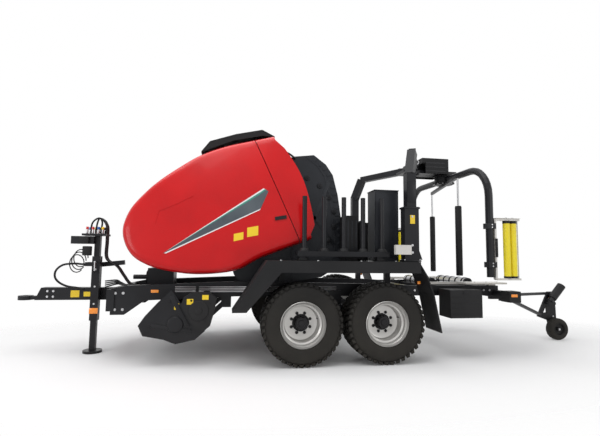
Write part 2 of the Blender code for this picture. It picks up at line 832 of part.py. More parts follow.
def wrap_table(machine):
    """The tipping table between the side plates, with two bale rollers."""
    x, z = TABLE_PIVOT
    axis = machine.axis("table_axis", (x, 0.0, z))
    pieces = [
        box((1.62, -0.46, 0.93), (1.70, 0.46, 0.99)),
        rod((1.78, -0.47, 1.03), (1.78, 0.47, 1.03), 0.075, 16),
        rod((2.42, -0.47, 1.03), (2.42, 0.47, 1.03), 0.075, 16),
        rod((x, -0.55, z), (x, 0.55, z), TABLE_TUBE - GAP, 16),
    ]
    for _, side in SIDES:
        pieces.append(side_box(side, (1.60, 0.44, 0.95), (x, 0.50, 1.02)))
    machine.add("wrap_table", "black", joined(*pieces), axis)


def film_rack(machine, name, side):
    """A rail with upright film roll pins that folds outwards over the fender."""
    y, z = RACK_HINGE
    axis = machine.axis(f"film_rack_{name}_axis", (0.08, y * side, z))
    pieces = [side_box(side, (-0.57, 1.115, 1.43), (0.73, 1.285, 1.50))]
    for x in (-0.50, 0.60):
        pieces.append(side_box(side, (x - 0.04, 1.16, FENDER_TOP + GAP), (x + 0.04, 1.26, 1.44)))
    for i in range(POST_COUNT):
        x = POST_FIRST_X + i * POST_PITCH
        pieces.append(rod((x, 1.2 * side, 1.49), (x, 1.2 * side, POST_TOP), POST_RADIUS, 14))
    machine.add("film_rack_" + name, "black", joined(*pieces), axis)


def deck_boxes(machine):
    base = FENDER_TOP + GAP
    cabinet = box((0.59, -1.09, base), (0.95, -0.78, 2.40))
    machine.add("control_cabinet", "black", cabinet)
    pieces = [
        box((0.16, -1.06, base), (0.34, -0.75, 2.02)),
        rod((0.45, -0.93, base), (0.45, -0.93, 1.93), 0.085, 18),
        box((0.30, -1.00, 1.40), (0.45, -0.86, 1.50)),
    ]
    machine.add("oil_tank", "plastic", joined(*pieces))
    panel = box((0.76, -HALF_WIDTH, 1.47), (0.985, -1.38 - GAP, 1.60))
    machine.add("wrapper_panel", "cream", panel)


# ---------------------------------------------------------------- rear end
def toolbox(machine):
    """An open box under the deck and the door that closes it."""
    x0, x1, z0, z1 = 1.67, 2.17, 0.57, 0.97
    outer = box((x0, -1.20, z0), (x1, -0.90, z1))
    inner = box((x0 + 0.02, -1.30, z0 + 0.02), (x1 - 0.02, -0.92, z1 - 0.02))
    shelf = box((x0 + 0.05, -0.91, 0.87), (x1 - 0.05, -BEAM_OUTER_Y - GAP, 0.93))
    machine.add("toolbox", "plastic", joined(cut(outer, inner), shelf))
    axis = machine.axis("toolbox_door_axis", ((x0 + x1) / 2, -1.215, z0))
    door = box((x0, -1.23, z0), (x1, -1.20 - GAP, z1))
    machine.add("toolbox_door", "plastic", door, axis)


def lamps(machine):
    for name, side in SIDES:
        pieces = [
            side_box(side, (2.66, 1.05 + GAP, 0.84), (2.74, 1.12, 0.91)),
            side_box(side, (2.58, 1.08, 0.79), (2.76, 1.28, 0.95)),
        ]
        machine.add("lamp_" + name, "black", joined(*pieces))


def tail_arm(machine):
    """The trailing arm with its ground wheel and tip roller."""
    x, z = TAIL_PIVOT
    axis = machine.axis("tail_axis", (x, 0.0, z))
    head = [(4.02, 0.40), (4.24, 0.84), (4.38, 0.84), (4.40, 0.15), (4.26, 0.15), (4.22, 0.33)]
    window = [(4.13, 0.46), (4.20, 0.60), (4.21, 0.47)]
    lean = Vector((0.25, 0.0, 0.28)).normalized()
    foot = Vector((4.253, -0.15, 0.729))
    pieces = [
        rod((x, -0.80, z), (x, -0.60, z), 0.045, 16),
        bar((x + 0.01, -0.70, z + 0.015), (4.28, -0.05, 0.81), 0.045, 0.045),
        bar((x + 0.01, -0.70, z - 0.015), (4.10, -0.05, 0.42), 0.045, 0.045),
        plate(head, -0.065, -0.03),
        rod(foot - lean * 0.07, foot, 0.05, 14),
        box((4.18, -0.18, 0.62), (4.30, -0.04, 0.66)),
        rod((4.20, -0.15, 0.655), (4.212, -0.15, 0.683), 0.03, 12),
    ]
    body = cut(joined(*pieces), plate(window, -0.2, 0.1))
    machine.add("tail_arm", "black", body, axis)
    foot += lean * GAP
    machine.add("tip_roller", "rubber", rod(foot, foot + lean * 0.30, 0.07, 20), axis)


def tail_wheel(machine):
    outer, width = -0.0653, TAIL_WHEEL_WIDTH
    tread = TAIL_WHEEL_RADIUS / math.cos(math.pi / 24)
    section = (
        (0.0, 0.0),
        (0.05, 0.0),
        (0.055, 0.03),
        (0.10, 0.012),
        (0.16, 0.005),
        (tread, 0.035),
        (tread, width - 0.035),
        (0.16, width - 0.005),
        (0.10, width - 0.012),
        (0.09, width - 0.04),
        (0.0, width - 0.04),
    )
    centre = (TAIL_WHEEL_X, 0.0, TAIL_WHEEL_RADIUS)
    axis = machine.axis("tail_wheel_axis", centre)
    profile = [(radius, outer - depth) for radius, depth in section]
    machine.add("tail_wheel", "rubber", turned(profile, centre, 24), axis)


# ---------------------------------------------------------------- hoses
def smooth(points, steps):
    """A Catmull-Rom line through the points."""
    line = [Vector(p) for p in points]
    line = [2 * line[0] - line[1], *line, 2 * line[-1] - line[-2]]
    found = []
    for i in range(1, len(line) - 2):
        a, b, c, d = line[i - 1 : i + 3]
        for step in range(steps):
            t = step / steps
            curve = (c - a) * t + (2 * a - 5 * b + 4 * c - d) * t**2 + (3 * b - a - 3 * c + d) * t**3
            found.append(b + curve * 0.5)
    found.append(line[-2])
    return found


# Each hose: name, diameter, and its route from the stand to the frame.
HOSES = (
    (
        "hose_upper",
        0.030,
        (
            (-3.601, -0.075, 1.270),
            (-3.66, -0.075, 1.270),
            (-3.74, -0.09, 1.278),
            (-3.88, -0.15, 1.260),
            (-3.97, -0.16, 1.180),
            (-3.98, -0.16, 1.080),
            (-3.92, -0.15, 1.000),
            (-3.81, -0.14, 0.945),
            (-3.70, -0.12, 0.925),
            (-3.60, -0.0953, 0.900),
        ),
    ),
)


def hoses(machine):
    for name, diameter, route in HOSES:
        machine.add(name, "rubber", tube(smooth(route, 4), diameter / 2, 2))


def main():
    clear_scene()
    machine = Machine()
    main_frame(machine)
    drawbar(machine)
    jack(machine)
    hose_stand(machine)
    for name, side in SIDES:
        fender(machine, name, side)
        bogie(machine, name, side)
        drive_guard(machine, name, side)
        film_rack(machine, name, side)
        wrap_deck(machine, name, side)
    wheels(machine)
    chamber_walls(machine)
    tailgate(machine)
    hood(machine)
    spoiler(machine)
    pickup(machine)
    pickup_reel(machine)
    gearbox(machine)
    gantry(machine)
    hub_cover(machine)
    satellite(machine)
    wrap_table(machine)
    deck_boxes(machine)
    toolbox(machine)
    lamps(machine)
    tail_arm(machine)
    tail_wheel(machine)
    hoses(machine)


main()
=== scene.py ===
"""Round baler with a bale wrapper behind it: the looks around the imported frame."""

import logging
import math
from collections.abc import Iterable, Sequence
from dataclasses import dataclass, field
from enum import Enum

import bmesh
import bpy
from mathutils import Matrix, Vector
from mathutils.bvhtree import BVHTree


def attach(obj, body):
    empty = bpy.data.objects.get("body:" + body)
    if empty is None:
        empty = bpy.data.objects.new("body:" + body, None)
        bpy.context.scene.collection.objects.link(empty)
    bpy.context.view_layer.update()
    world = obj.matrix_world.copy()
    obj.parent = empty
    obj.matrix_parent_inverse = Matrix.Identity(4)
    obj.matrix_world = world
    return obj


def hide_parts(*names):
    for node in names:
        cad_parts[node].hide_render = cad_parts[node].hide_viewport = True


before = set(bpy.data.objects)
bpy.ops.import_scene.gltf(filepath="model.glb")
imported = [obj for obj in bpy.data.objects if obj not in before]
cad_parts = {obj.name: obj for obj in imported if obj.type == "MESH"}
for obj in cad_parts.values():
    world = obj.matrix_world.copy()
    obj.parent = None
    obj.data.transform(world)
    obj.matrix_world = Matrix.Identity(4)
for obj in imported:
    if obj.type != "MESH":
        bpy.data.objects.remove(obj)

LOG = logging.getLogger("baler_wrapper")
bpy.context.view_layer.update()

Point = Sequence[float]
Outline = Sequence[tuple[float, float]]

SIDES = (("left", -1), ("right", 1))
BEAM_FACE = 0.77  # how far out the chassis beams reach
GATE_FACE = 0.655  # how far out the tailgate's sides reach
REEL_AXIS = (-2.14, 0.53)
JACK_X = -3.40
FIRST_POST_X = -0.463
POST_PITCH = 0.279
POST_Y = 1.2
ARM_REACH = 1.30
SKIN = 0.006
SHARP_ANGLE = math.radians(34)


# ---------------------------------------------------------------- shader graph
class Socket:
    """An output of a shader node that takes part in arithmetic."""

    def __init__(self, graph: "Graph", link: bpy.types.NodeSocket) -> None:
        self.graph = graph
        self.link = link

    def _with(self, operation: str, first: object, second: object) -> "Socket":
        """Adds one Math node.

        Args:
            operation: The Math node's operation.
            first: Its first value or socket.
            second: Its second value or socket.

        Returns:
            The node's result.
        """
        return self.graph.node("ShaderNodeMath", {"operation": operation}, {0: first, 1: second})

    def __add__(self, other: object) -> "Socket":
        return self._with("ADD", self, other)

    def __radd__(self, other: object) -> "Socket":
        return self._with("ADD", other, self)

    def __sub__(self, other: object) -> "Socket":
        return self._with("SUBTRACT", self, other)

    def __rsub__(self, other: object) -> "Socket":
        return self._with("SUBTRACT", other, self)

    def __mul__(self, other: object) -> "Socket":
        return self._with("MULTIPLY", self, other)

    def __rmul__(self, other: object) -> "Socket":
        return self._with("MULTIPLY", other, self)

    def clamp(self) -> "Socket":
        """Keeps the value between 0 and 1.

        Returns:
            The clamped value.
        """
        return self.graph.node("ShaderNodeClamp", {}, {0: self})


class Graph:
    """The node tree of one material."""

    def __init__(self, name: str) -> None:
        self.material = bpy.data.materials.new(name)
        self.material.use_nodes = True
        self.tree = self.material.node_tree
        self.shader = self.tree.nodes["Principled BSDF"]

    def node(
        self,
        kind: str,
        settings: dict[str, object],
        inputs: dict[int | str, object],
        output: int | str = 0,
    ) -> Socket:
        """Adds a node of any kind.

        Args:
            kind: Blender's name of the node type.
            settings: Properties, set before the sockets.
            inputs: Values or sockets by the input's number or name.
            output: The output wanted.

        Returns:
            That output.
        """
        made = self.tree.nodes.new(kind)
        for key, value in settings.items():
            setattr(made, key, value)
        for key, value in inputs.items():
            self.feed(made.inputs[key], value)
        return Socket(self, made.outputs[output])

    def feed(self, target: bpy.types.NodeSocket, value: object) -> None:
        """Links or sets one input.

        Args:
            target: The input socket.
            value: A Socket to link, or a plain value.
        """
        if isinstance(value, Socket):
            self.tree.links.new(value.link, target)
        else:
            target.default_value = value

    def mix(self, first: object, second: object, factor: Socket) -> Socket:
        """Mixes two colours.

        Args:
            first: The colour at factor 0.
            second: The colour at factor 1.
            factor: How much of the second.

        Returns:
            The mixed colour.
        """
        inputs = {0: factor, 6: first, 7: second}
        return self.node("ShaderNodeMix", {"data_type": "RGBA"}, inputs, 2)

    def noise(self, scale: float, detail: float, where: Socket) -> Socket:
        """A noise in object space, scale in cells per metre.

        Args:
            scale: Cells per metre.
            detail: How many finer layers.
            where: The coordinates.

        Returns:
            The noise value.
        """
        return self.node("ShaderNodeTexNoise", {}, {"Vector": where, "Scale": scale, "Detail": detail})


class WorldGraph(Graph):
    """The node tree of a world."""

    def __init__(self, name: str) -> None:
        self.world = bpy.data.worlds.new(name)
        self.world.use_nodes = True
        self.tree = self.world.node_tree
        self.shader = self.tree.nodes["Background"]


Colour = tuple[float, float, float]


@dataclass(frozen=True)
class Finish:
    """What one surface is made of."""

    name: str
    colour: Colour
    tint: Colour
    roughness: float
    metallic: float = 0.0
    coat: float = 0.0
    grain: float = 220.0
    relief: float = 0.15
    stretch: Colour = (1.0, 1.0, 1.0)
    dust: float = 0.0
    # painted glow: emission in the surface's own colour, so a part that is no lit lamp looks lit
    painted_glow: float = 0.0
    specular: float = 0.5

    def build(self) -> bpy.types.Material:
        """Makes the node material.

        Returns:
            The material.
        """
        graph = Graph(self.name)
        where = graph.node("ShaderNodeTexCoord", {}, {}, "Object")
        streaked = graph.node(
            "ShaderNodeVectorMath", {"operation": "MULTIPLY"}, {0: where, 1: self.stretch}
        )
        broad = graph.noise(2.3, 3.0, where)
        fine = graph.noise(self.grain, 2.0, streaked)
        colour = graph.mix((*self.colour, 1.0), (*self.tint, 1.0), ((broad - 0.38) * 2.2).clamp())
        if self.dust:
            height = graph.node("ShaderNodeSeparateXYZ", {}, {0: where}, 2)
            film = ((1.15 - height) * self.dust * (broad + 0.35) * (fine + 0.4)).clamp()
            colour = graph.mix(colour, (0.34, 0.29, 0.22, 1.0), film)
        graph.feed(graph.shader.inputs["Base Color"], colour)
        rough = (self.roughness + (fine - 0.5) * 0.16 + (broad - 0.5) * 0.1).clamp()
        graph.feed(graph.shader.inputs["Roughness"], rough)
        graph.shader.inputs["Metallic"].default_value = self.metallic
        graph.shader.inputs["Coat Weight"].default_value = self.coat
        graph.shader.inputs["Coat Roughness"].default_value = 0.06
        graph.shader.inputs["Specular IOR Level"].default_value = self.specular
        # Painted glow: the surface emits its own colour and looks lit, though it is no lamp.
        if self.painted_glow:
            graph.shader.inputs["Emission Color"].default_value = (*self.colour, 1.0)
            graph.shader.inputs["Emission Strength"].default_value = self.painted_glow
        bump = {"Strength": self.relief, "Distance": 0.0015, "Height": fine}
        graph.feed(graph.shader.inputs["Normal"], graph.node("ShaderNodeBump", {}, bump))
        graph.material.diffuse_color = (*self.colour, 1.0)
        return graph.material


class Look(Enum):
    """The finishes on this machine."""

    RED = Finish("hood_red", (0.56, 0.005, 0.007), (0.46, 0.003, 0.005), 0.26, coat=0.12,
                 relief=0.02, specular=0.22)
    FRAME = Finish("frame_black", (0.010, 0.010, 0.012), (0.017, 0.018, 0.021), 0.40, coat=0.03,
                   relief=0.12, dust=0.02, specular=0.2)
    GRAPHITE = Finish("gate_graphite", (0.018, 0.020, 0.024), (0.030, 0.032, 0.038), 0.38, 0.1, 0.03,
                      relief=0.08, specular=0.22)
    MOULDED = Finish("moulded_black", (0.010, 0.010, 0.011), (0.018, 0.018, 0.019), 0.58, relief=0.45,
                     grain=420.0, dust=0.02, specular=0.22)
    TYRE = Finish("tyre_rubber", (0.014, 0.0135, 0.013), (0.024, 0.023, 0.021), 0.80, relief=0.5,
                  grain=160.0, dust=0.05, specular=0.2)
    HOSE = Finish("hose_rubber", (0.008, 0.008, 0.009), (0.014, 0.014, 0.015), 0.5, relief=0.2,
                  specular=0.25)
    RIM = Finish("rim_silver", (0.56, 0.55, 0.53), (0.46, 0.45, 0.43), 0.34, 0.55, 0.2, relief=0.06,
                 dust=0.05)
    ZINC = Finish("zinc_steel", (0.56, 0.56, 0.57), (0.40, 0.40, 0.41), 0.32, 0.9, relief=0.15)
    BRUSHED = Finish("brushed_steel", (0.42, 0.42, 0.43), (0.30, 0.29, 0.28), 0.36, 0.9, relief=0.3,
                     stretch=(1.0, 0.05, 1.0))
    YELLOW = Finish("roller_yellow", (0.86, 0.72, 0.02), (0.80, 0.62, 0.02), 0.4, relief=0.1)
    LABEL = Finish("plain_patch_yellow", (0.88, 0.62, 0.02), (0.82, 0.55, 0.02), 0.4, relief=0.03)
    CREAM = Finish("cream_paint", (0.66, 0.64, 0.60), (0.55, 0.53, 0.50), 0.42, coat=0.2, relief=0.08)
    SHEEN = Finish("stripe_slate", (0.045, 0.060, 0.075), (0.085, 0.105, 0.120), 0.3, 0.3, 0.5,
                   relief=0.02)
    TEAL = Finish("stripe_teal", (0.02, 0.22, 0.17), (0.02, 0.28, 0.20), 0.3, coat=0.5, relief=0.02)
    WHITE = Finish("stripe_white", (0.80, 0.80, 0.80), (0.72, 0.72, 0.72), 0.35, relief=0.02)
    # AMBER and LENS carry a painted glow: reflectors, rear lenses, coupling caps and the stop key look
    # lit, though no lamp is on.
    AMBER = Finish("amber_lens", (0.90, 0.28, 0.01), (0.80, 0.20, 0.01), 0.2, coat=0.6, relief=0.3,
                   grain=500.0, painted_glow=0.12)
    LENS = Finish("red_lens", (0.55, 0.01, 0.01), (0.45, 0.01, 0.01), 0.2, coat=0.6, relief=0.3,
                  grain=500.0, painted_glow=0.08)
    BLUE = Finish("cap_blue", (0.02, 0.12, 0.45), (0.02, 0.10, 0.36), 0.4, relief=0.05)


class Paintbox:
    """Builds each finish once."""

    def __init__(self) -> None:
        self.made: dict[Look, bpy.types.Material] = {}

    def get(self, look: Look) -> bpy.types.Material:
        """The material of a finish.

        Args:
            look: The finish.

        Returns:
            Its material.
        """
        if look not in self.made:
            self.made[look] = look.value.build()
        return self.made[look]


PAINT = Paintbox()


# ---------------------------------------------------------------- solids
class Shape:
    """Gathers closed solids into one piece."""

    def __init__(self) -> None:
        self.bm = bmesh.new()

    def box(self, low: Point, high: Point, bevel: float = 0.004) -> "Shape":
        """Adds a block with rounded edges.

        Args:
            low: One corner.
            high: The opposite corner.
            bevel: The edge radius.

        Returns:
            This shape.
        """
        a = Vector(map(min, low, high))
        b = Vector(map(max, low, high))
        verts = bmesh.ops.create_cube(self.bm, size=1.0)["verts"]
        bmesh.ops.scale(self.bm, vec=b - a, verts=verts)
        bmesh.ops.translate(self.bm, vec=(a + b) / 2, verts=verts)
        self._round(verts, min(bevel, min(b - a) * 0.3))
        return self

    def _round(self, verts: Iterable[bmesh.types.BMVert], radius: float) -> None:
        """Rounds every edge of the verts.

        Args:
            verts: The corners.
            radius: The edge radius.
        """
        if radius > 0:
            self._bevel(list({edge for vert in verts for edge in vert.link_edges}), radius)

    def _bevel(self, edges: list[bmesh.types.BMEdge], radius: float) -> None:
        """Rounds edges in two steps.

        Args:
            edges: The edges.
            radius: The edge radius.
        """
        bmesh.ops.bevel(self.bm, geom=edges, offset=radius, segments=2, profile=0.5, affect="EDGES")

    def bar(self, start: Point, end: Point, across: float, deep: float, bevel: float = 0.004) -> "Shape":
        """Adds a rectangular bar between two points.

        Args:
            start: One end.
            end: The other end.
            across: The level width.
            deep: The other width.
            bevel: The edge radius.

        Returns:
            This shape.
        """
        a, b = Vector(start), Vector(end)
        up = (b - a).normalized()
        side = Vector((0, 0, 1)).cross(up)
        side = side.normalized() if side.length > 1e-6 else Vector((0, 1, 0))
        turn = Matrix((side, up.cross(side), up)).transposed().to_4x4()
        verts = bmesh.ops.create_cube(self.bm, size=1.0)["verts"]
        bmesh.ops.scale(self.bm, vec=(across, deep, (b - a).length), verts=verts)
        bmesh.ops.transform(self.bm, matrix=Matrix.Translation((a + b) / 2) @ turn, verts=verts)
        self._round(verts, bevel)
        return self

    def rod(self, start: Point, end: Point, radius: float, sides: int = 20,
            far: float | None = None, bevel: float = 0.0) -> "Shape":
        """Adds a round bar or a cone.

        Args:
            start: One end.
            end: The other end.
            radius: The radius at the start.
            sides: How many flats.
            far: The radius at the end, the same if left out.
            bevel: The radius of the end edges.

        Returns:
            This shape.
        """
        a, b = Vector(start), Vector(end)
        turn = (b - a).to_track_quat("Z", "Y").to_matrix().to_4x4()
        made = bmesh.ops.create_cone(
            self.bm, cap_ends=True, segments=sides, radius1=radius,
            radius2=radius if far is None else far, depth=(b - a).length,
            matrix=Matrix.Translation((a + b) / 2) @ turn,
        )
        if bevel:
            around = {edge for vert in made["verts"] for edge in vert.link_edges}
            edges = [edge for edge in around if any(len(face.verts) > 4 for face in edge.link_faces)]
            self._bevel(edges, bevel)
        return self

    def turned(self, profile: Sequence[tuple[float, float]], centre: Point, facets: int = 64) -> "Shape":
        """Adds a closed ring section turned about a line along Y.

        Args:
            profile: The section as (radius, y), a closed loop.
            centre: A point on the axis.
            facets: Steps round the axis.

        Returns:
            This shape.
        """
        cx, _, cz = centre
        rings = []
        for step in range(facets):
            angle = math.tau * step / facets
            c, s = math.cos(angle), math.sin(angle)
            rings.append([self.bm.verts.new((cx + r * c, y, cz + r * s)) for r, y in profile])
        count = len(profile)
        for step, ring in enumerate(rings):
            other = rings[(step + 1) % facets]
            for i in range(count):
                j = (i + 1) % count
                self.bm.faces.new((ring[i], ring[j], other[j], other[i]))
        return self

    def tube(self, points: Sequence[Point], radius: float, sides: int = 10) -> "Shape":
        """Adds a round tube with closed ends.

        Args:
            points: The line it follows.
            radius: Its radius.
            sides: How many flats.

        Returns:
            This shape.
        """
        line = [Vector(p) for p in points]
        rings = []
        normal = None
        for i, place in enumerate(line):
            ahead = (line[min(i + 1, len(line) - 1)] - line[max(i - 1, 0)]).normalized()
            if normal is None:
                normal = ahead.orthogonal().normalized()
            normal = (normal - ahead * normal.dot(ahead)).normalized()
            across = ahead.cross(normal)
            ring = []
            for k in range(sides):
                angle = math.tau * k / sides
                offset = normal * math.cos(angle) + across * math.sin(angle)
                ring.append(self.bm.verts.new(place + offset * radius))
            rings.append(ring)
        for first, second in zip(rings, rings[1:]):
            for k in range(sides):
                m = (k + 1) % sides
                self.bm.faces.new((first[k], first[m], second[m], second[k]))
        self.bm.faces.new(rings[0])
        self.bm.faces.new(rings[-1])
        return self

    def prism(self, outline: Outline, y_from: float, y_to: float) -> "Shape":
        """Adds an (x, z) outline standing between two values of y.

        Args:
            outline: The corners in order.
            y_from: One face.
            y_to: The other face.

        Returns:
            This shape.
        """
        first = [self.bm.verts.new((x, y_from, z)) for x, z in outline]
        second = [self.bm.verts.new((x, y_to, z)) for x, z in outline]
        self.bm.faces.new(first)
        self.bm.faces.new(second)
        for i in range(len(outline)):
            j = (i + 1) % len(outline)
            self.bm.faces.new((first[i], first[j], second[j], second[i]))
        return self

    def bolts(self, places: Iterable[Point], along: Point, radius: float, height: float) -> "Shape":
        """Adds hexagon heads with washers.

        Args:
            places: Where each stands.
            along: The way they stick out.
            radius: The head's radius.
            height: The head's height.

        Returns:
            This shape.
        """
        out = Vector(along).normalized()
        for place in places:
            base = Vector(place)
            self.rod(base - out * 0.002, base + out * height * 0.25, radius * 1.35, 16)
            self.rod(base, base + out * height, radius, 6)
        return self

    def build(self, name: str, body: str, look: Look, replaces: Sequence[str] = (),
              smooth: float = SHARP_ANGLE) -> bpy.types.Object:
        """Makes the piece and hangs it on its body.

        Args:
            name: The piece's name.
            body: The CAD body it rides on.
            look: Its finish.
            replaces: CAD nodes that it stands for.
            smooth: Edges flatter than this are smooth.

        Returns:
            The piece.
        """
        bmesh.ops.recalc_face_normals(self.bm, faces=self.bm.faces)
        for face in self.bm.faces:
            face.smooth = True
        for edge in self.bm.edges:
            edge.smooth = len(edge.link_faces) == 2 and edge.calc_face_angle(0.0) < smooth
        mesh = bpy.data.meshes.new(name)
        self.bm.to_mesh(mesh)
        self.bm.free()
        mesh.materials.append(PAINT.get(look))
        obj = bpy.data.objects.new(name, mesh)
        bpy.context.scene.collection.objects.link(obj)
        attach(obj, body)
        if replaces:
            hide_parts(*replaces)
        return obj


def curve_through(points: Sequence[Point], steps: int) -> list[Vector]:
    """A Catmull-Rom line through points.

    Args:
        points: What it passes through.
        steps: Steps in each span.

    Returns:
        The points of the line.
    """
    line = [Vector(p) for p in points]
    line = [2 * line[0] - line[1], *line, 2 * line[-1] - line[-2]]
    found = []
    for i in range(1, len(line) - 2):
        a, b, c, d = line[i - 1 : i + 3]
        for step in range(steps):
            t = step / steps
            bend = (2 * a - 5 * b + 4 * c - d) * t**2 + (3 * b - a - 3 * c + d) * t**3
            found.append(b + ((c - a) * t + bend) * 0.5)
    found.append(line[-2])
    return found


# ---------------------------------------------------------------- studio
@dataclass(frozen=True)
class Studio:
    """Camera, floor, world and lights."""

    eye: Point = (-1.476, -6.768, 1.446)
    yaw: float = 9.66
    pitch: float = 5.13
    roll: float = 0.708
    lens: float = 24.74
    ambient: tuple[float, ...] = (0.62, 0.62, 0.63, 1.0)
    fade: Point = (0.19, 0.36, 0.0)  # the shares of x and y in the floor's fading out
    panels: tuple[tuple[Point, float, float], ...] = (  # place, size and power
        ((-2.0, -1.0, 8.0), 7.0, 430.0),
        ((-8.5, -6.0, 3.2), 3.5, 150.0),
        ((6.5, -7.0, 4.0), 3.0, 90.0),
    )

    def camera(self) -> None:
        """Places the camera."""
        data = bpy.data.cameras.new("camera")
        data.lens = self.lens
        data.sensor_width = 36.0
        data.clip_end = 200.0
        obj = bpy.data.objects.new("camera", data)
        bpy.context.scene.collection.objects.link(obj)
        yaw, pitch, roll = (math.radians(v) for v in (self.yaw, self.pitch, self.roll))
        level = math.cos(pitch)
        ahead = Vector((math.sin(yaw) * level, math.cos(yaw) * level, math.sin(pitch)))
        right = Vector((math.cos(yaw), -math.sin(yaw), 0.0))
        up = right.cross(ahead)
        right2 = right * math.cos(roll) + up * math.sin(roll)
        up2 = -right * math.sin(roll) + up * math.cos(roll)
        turn = Matrix((right2, up2, -ahead)).transposed().to_4x4()
        obj.matrix_world = Matrix.Translation(self.eye) @ turn
        bpy.context.scene.camera = obj

    def floor(self) -> None:
        """Lays a plain pale floor."""
        graph = Graph("floor_pale")
        where = graph.node("ShaderNodeTexCoord", {}, {}, "Object")
        speck = graph.noise(30.0, 2.0, where)
        colour = graph.mix((0.86, 0.86, 0.86, 1.0), (0.88, 0.88, 0.88, 1.0), speck)
        graph.feed(graph.shader.inputs["Base Color"], colour)
        graph.shader.inputs["Roughness"].default_value = 0.8
        graph.shader.inputs["Specular IOR Level"].default_value = 0.1
        flat = graph.node("ShaderNodeVectorMath", {"operation": "MULTIPLY"}, {0: where, 1: self.fade})
        reach = graph.node("ShaderNodeVectorMath", {"operation": "LENGTH"}, {0: flat}, 1)
        fade = (2.0 - reach * 1.45).clamp()
        graph.feed(graph.shader.inputs["Alpha"], fade)
        bm = bmesh.new()
        bmesh.ops.create_grid(bm, x_segments=1, y_segments=1, size=60.0)
        mesh = bpy.data.meshes.new("floor")
        bm.to_mesh(mesh)
        bm.free()
        mesh.materials.append(graph.material)
        obj = bpy.data.objects.new("floor", mesh)
        obj.location = (0.0, 0.0, -0.001)
        bpy.context.scene.collection.objects.link(obj)

    def light(self) -> None:
        """Sets the world and the lamps."""
        graph = WorldGraph("studio")
        graph.shader.inputs["Color"].default_value = self.ambient
        rays = ("Is Camera Ray", "Is Glossy Ray", "Is Transmission Ray")
        camera, glossy, through = (graph.node("ShaderNodeLightPath", {}, {}, ray) for ray in rays)
        seen = ((camera + glossy).clamp() + through).clamp()
        white = graph.node("ShaderNodeBackground", {}, {"Color": (1.0, 1.0, 1.0, 1.0)})
        dim = Socket(graph, graph.shader.outputs[0])
        both = graph.node("ShaderNodeMixShader", {}, {0: seen, 1: dim, 2: white})
        graph.feed(graph.tree.nodes["World Output"].inputs["Surface"], both)
        bpy.context.scene.world = graph.world
        for i, (place, size, power) in enumerate(self.panels):
            data = bpy.data.lights.new(f"panel_{i}", "AREA")
            data.size = size
            data.energy = power
            obj = bpy.data.objects.new(f"panel_{i}", data)
            obj.location = place
            obj.rotation_mode = "QUATERNION"
            obj.rotation_quaternion = (Vector((0.0, 0.0, 1.4)) - Vector(place)).to_track_quat("-Z", "Y")
            bpy.context.scene.collection.objects.link(obj)

    def build(self) -> None:
        """Makes all of it."""
        self.camera()
        self.floor()
        self.light()
        bpy.context.scene.view_settings.view_transform = "Standard"


# ---------------------------------------------------------------- frame nodes
CAD_LOOKS = {
    Look.FRAME: ("main_frame", "drawbar", "parking_jack", "hose_stand", "gearbox", "gantry",
                 "satellite_arms", "wrap_table", "bogie_left", "bogie_right", "tail_arm",
                 "film_rack_left", "film_rack_right", "pickup_frame"),
    Look.GRAPHITE: ("chamber_front", "tailgate", "control_cabinet"),
    Look.MOULDED: ("fender_left", "fender_right", "drive_guard_left", "drive_guard_right", "lamp_left",
                   "lamp_right", "hub_cover", "oil_tank", "toolbox", "toolbox_door", "roof_spoiler"),
    Look.CREAM: ("wrap_deck_left", "wrap_deck_right", "wrapper_panel", "film_unit_front",
                 "film_unit_rear"),
    Look.BRUSHED: ("pickup_reel",),
    Look.HOSE: ("hose_upper", "tip_roller"),
    Look.RED: ("hood_roof", "side_door_left", "side_door_right"),
    Look.TYRE: ("wheel_front_left", "wheel_front_right", "wheel_rear_left", "wheel_rear_right",
                "tail_wheel"),
}


def dress_frame() -> None:
    """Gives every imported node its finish."""
    for look, names in CAD_LOOKS.items():
        for name in names:
            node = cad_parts[name]
            node.data.materials.clear()
            node.data.materials.append(PAINT.get(look))


@dataclass
class DrawbarHose:
    """The route of the free loop of hose at the stand; its build traces and measures the line but makes
    no piece.
    """

    diameter: float = 0.030
    route: tuple[Point, ...] = (
        (-3.601, -0.075, 1.270),
        (-3.66, -0.075, 1.270),
        (-3.74, -0.09, 1.278),
        (-3.88, -0.15, 1.260),
        (-3.97, -0.16, 1.180),
        (-3.98, -0.16, 1.080),
        (-3.92, -0.15, 1.000),
        (-3.81, -0.14, 0.945),
        (-3.70, -0.12, 0.925),
        (-3.60, -0.0953, 0.900),
    )

    def build(self) -> None:
        line = curve_through(self.route, 4)
        length = sum((b - a).length for a, b in zip(line, line[1:]))


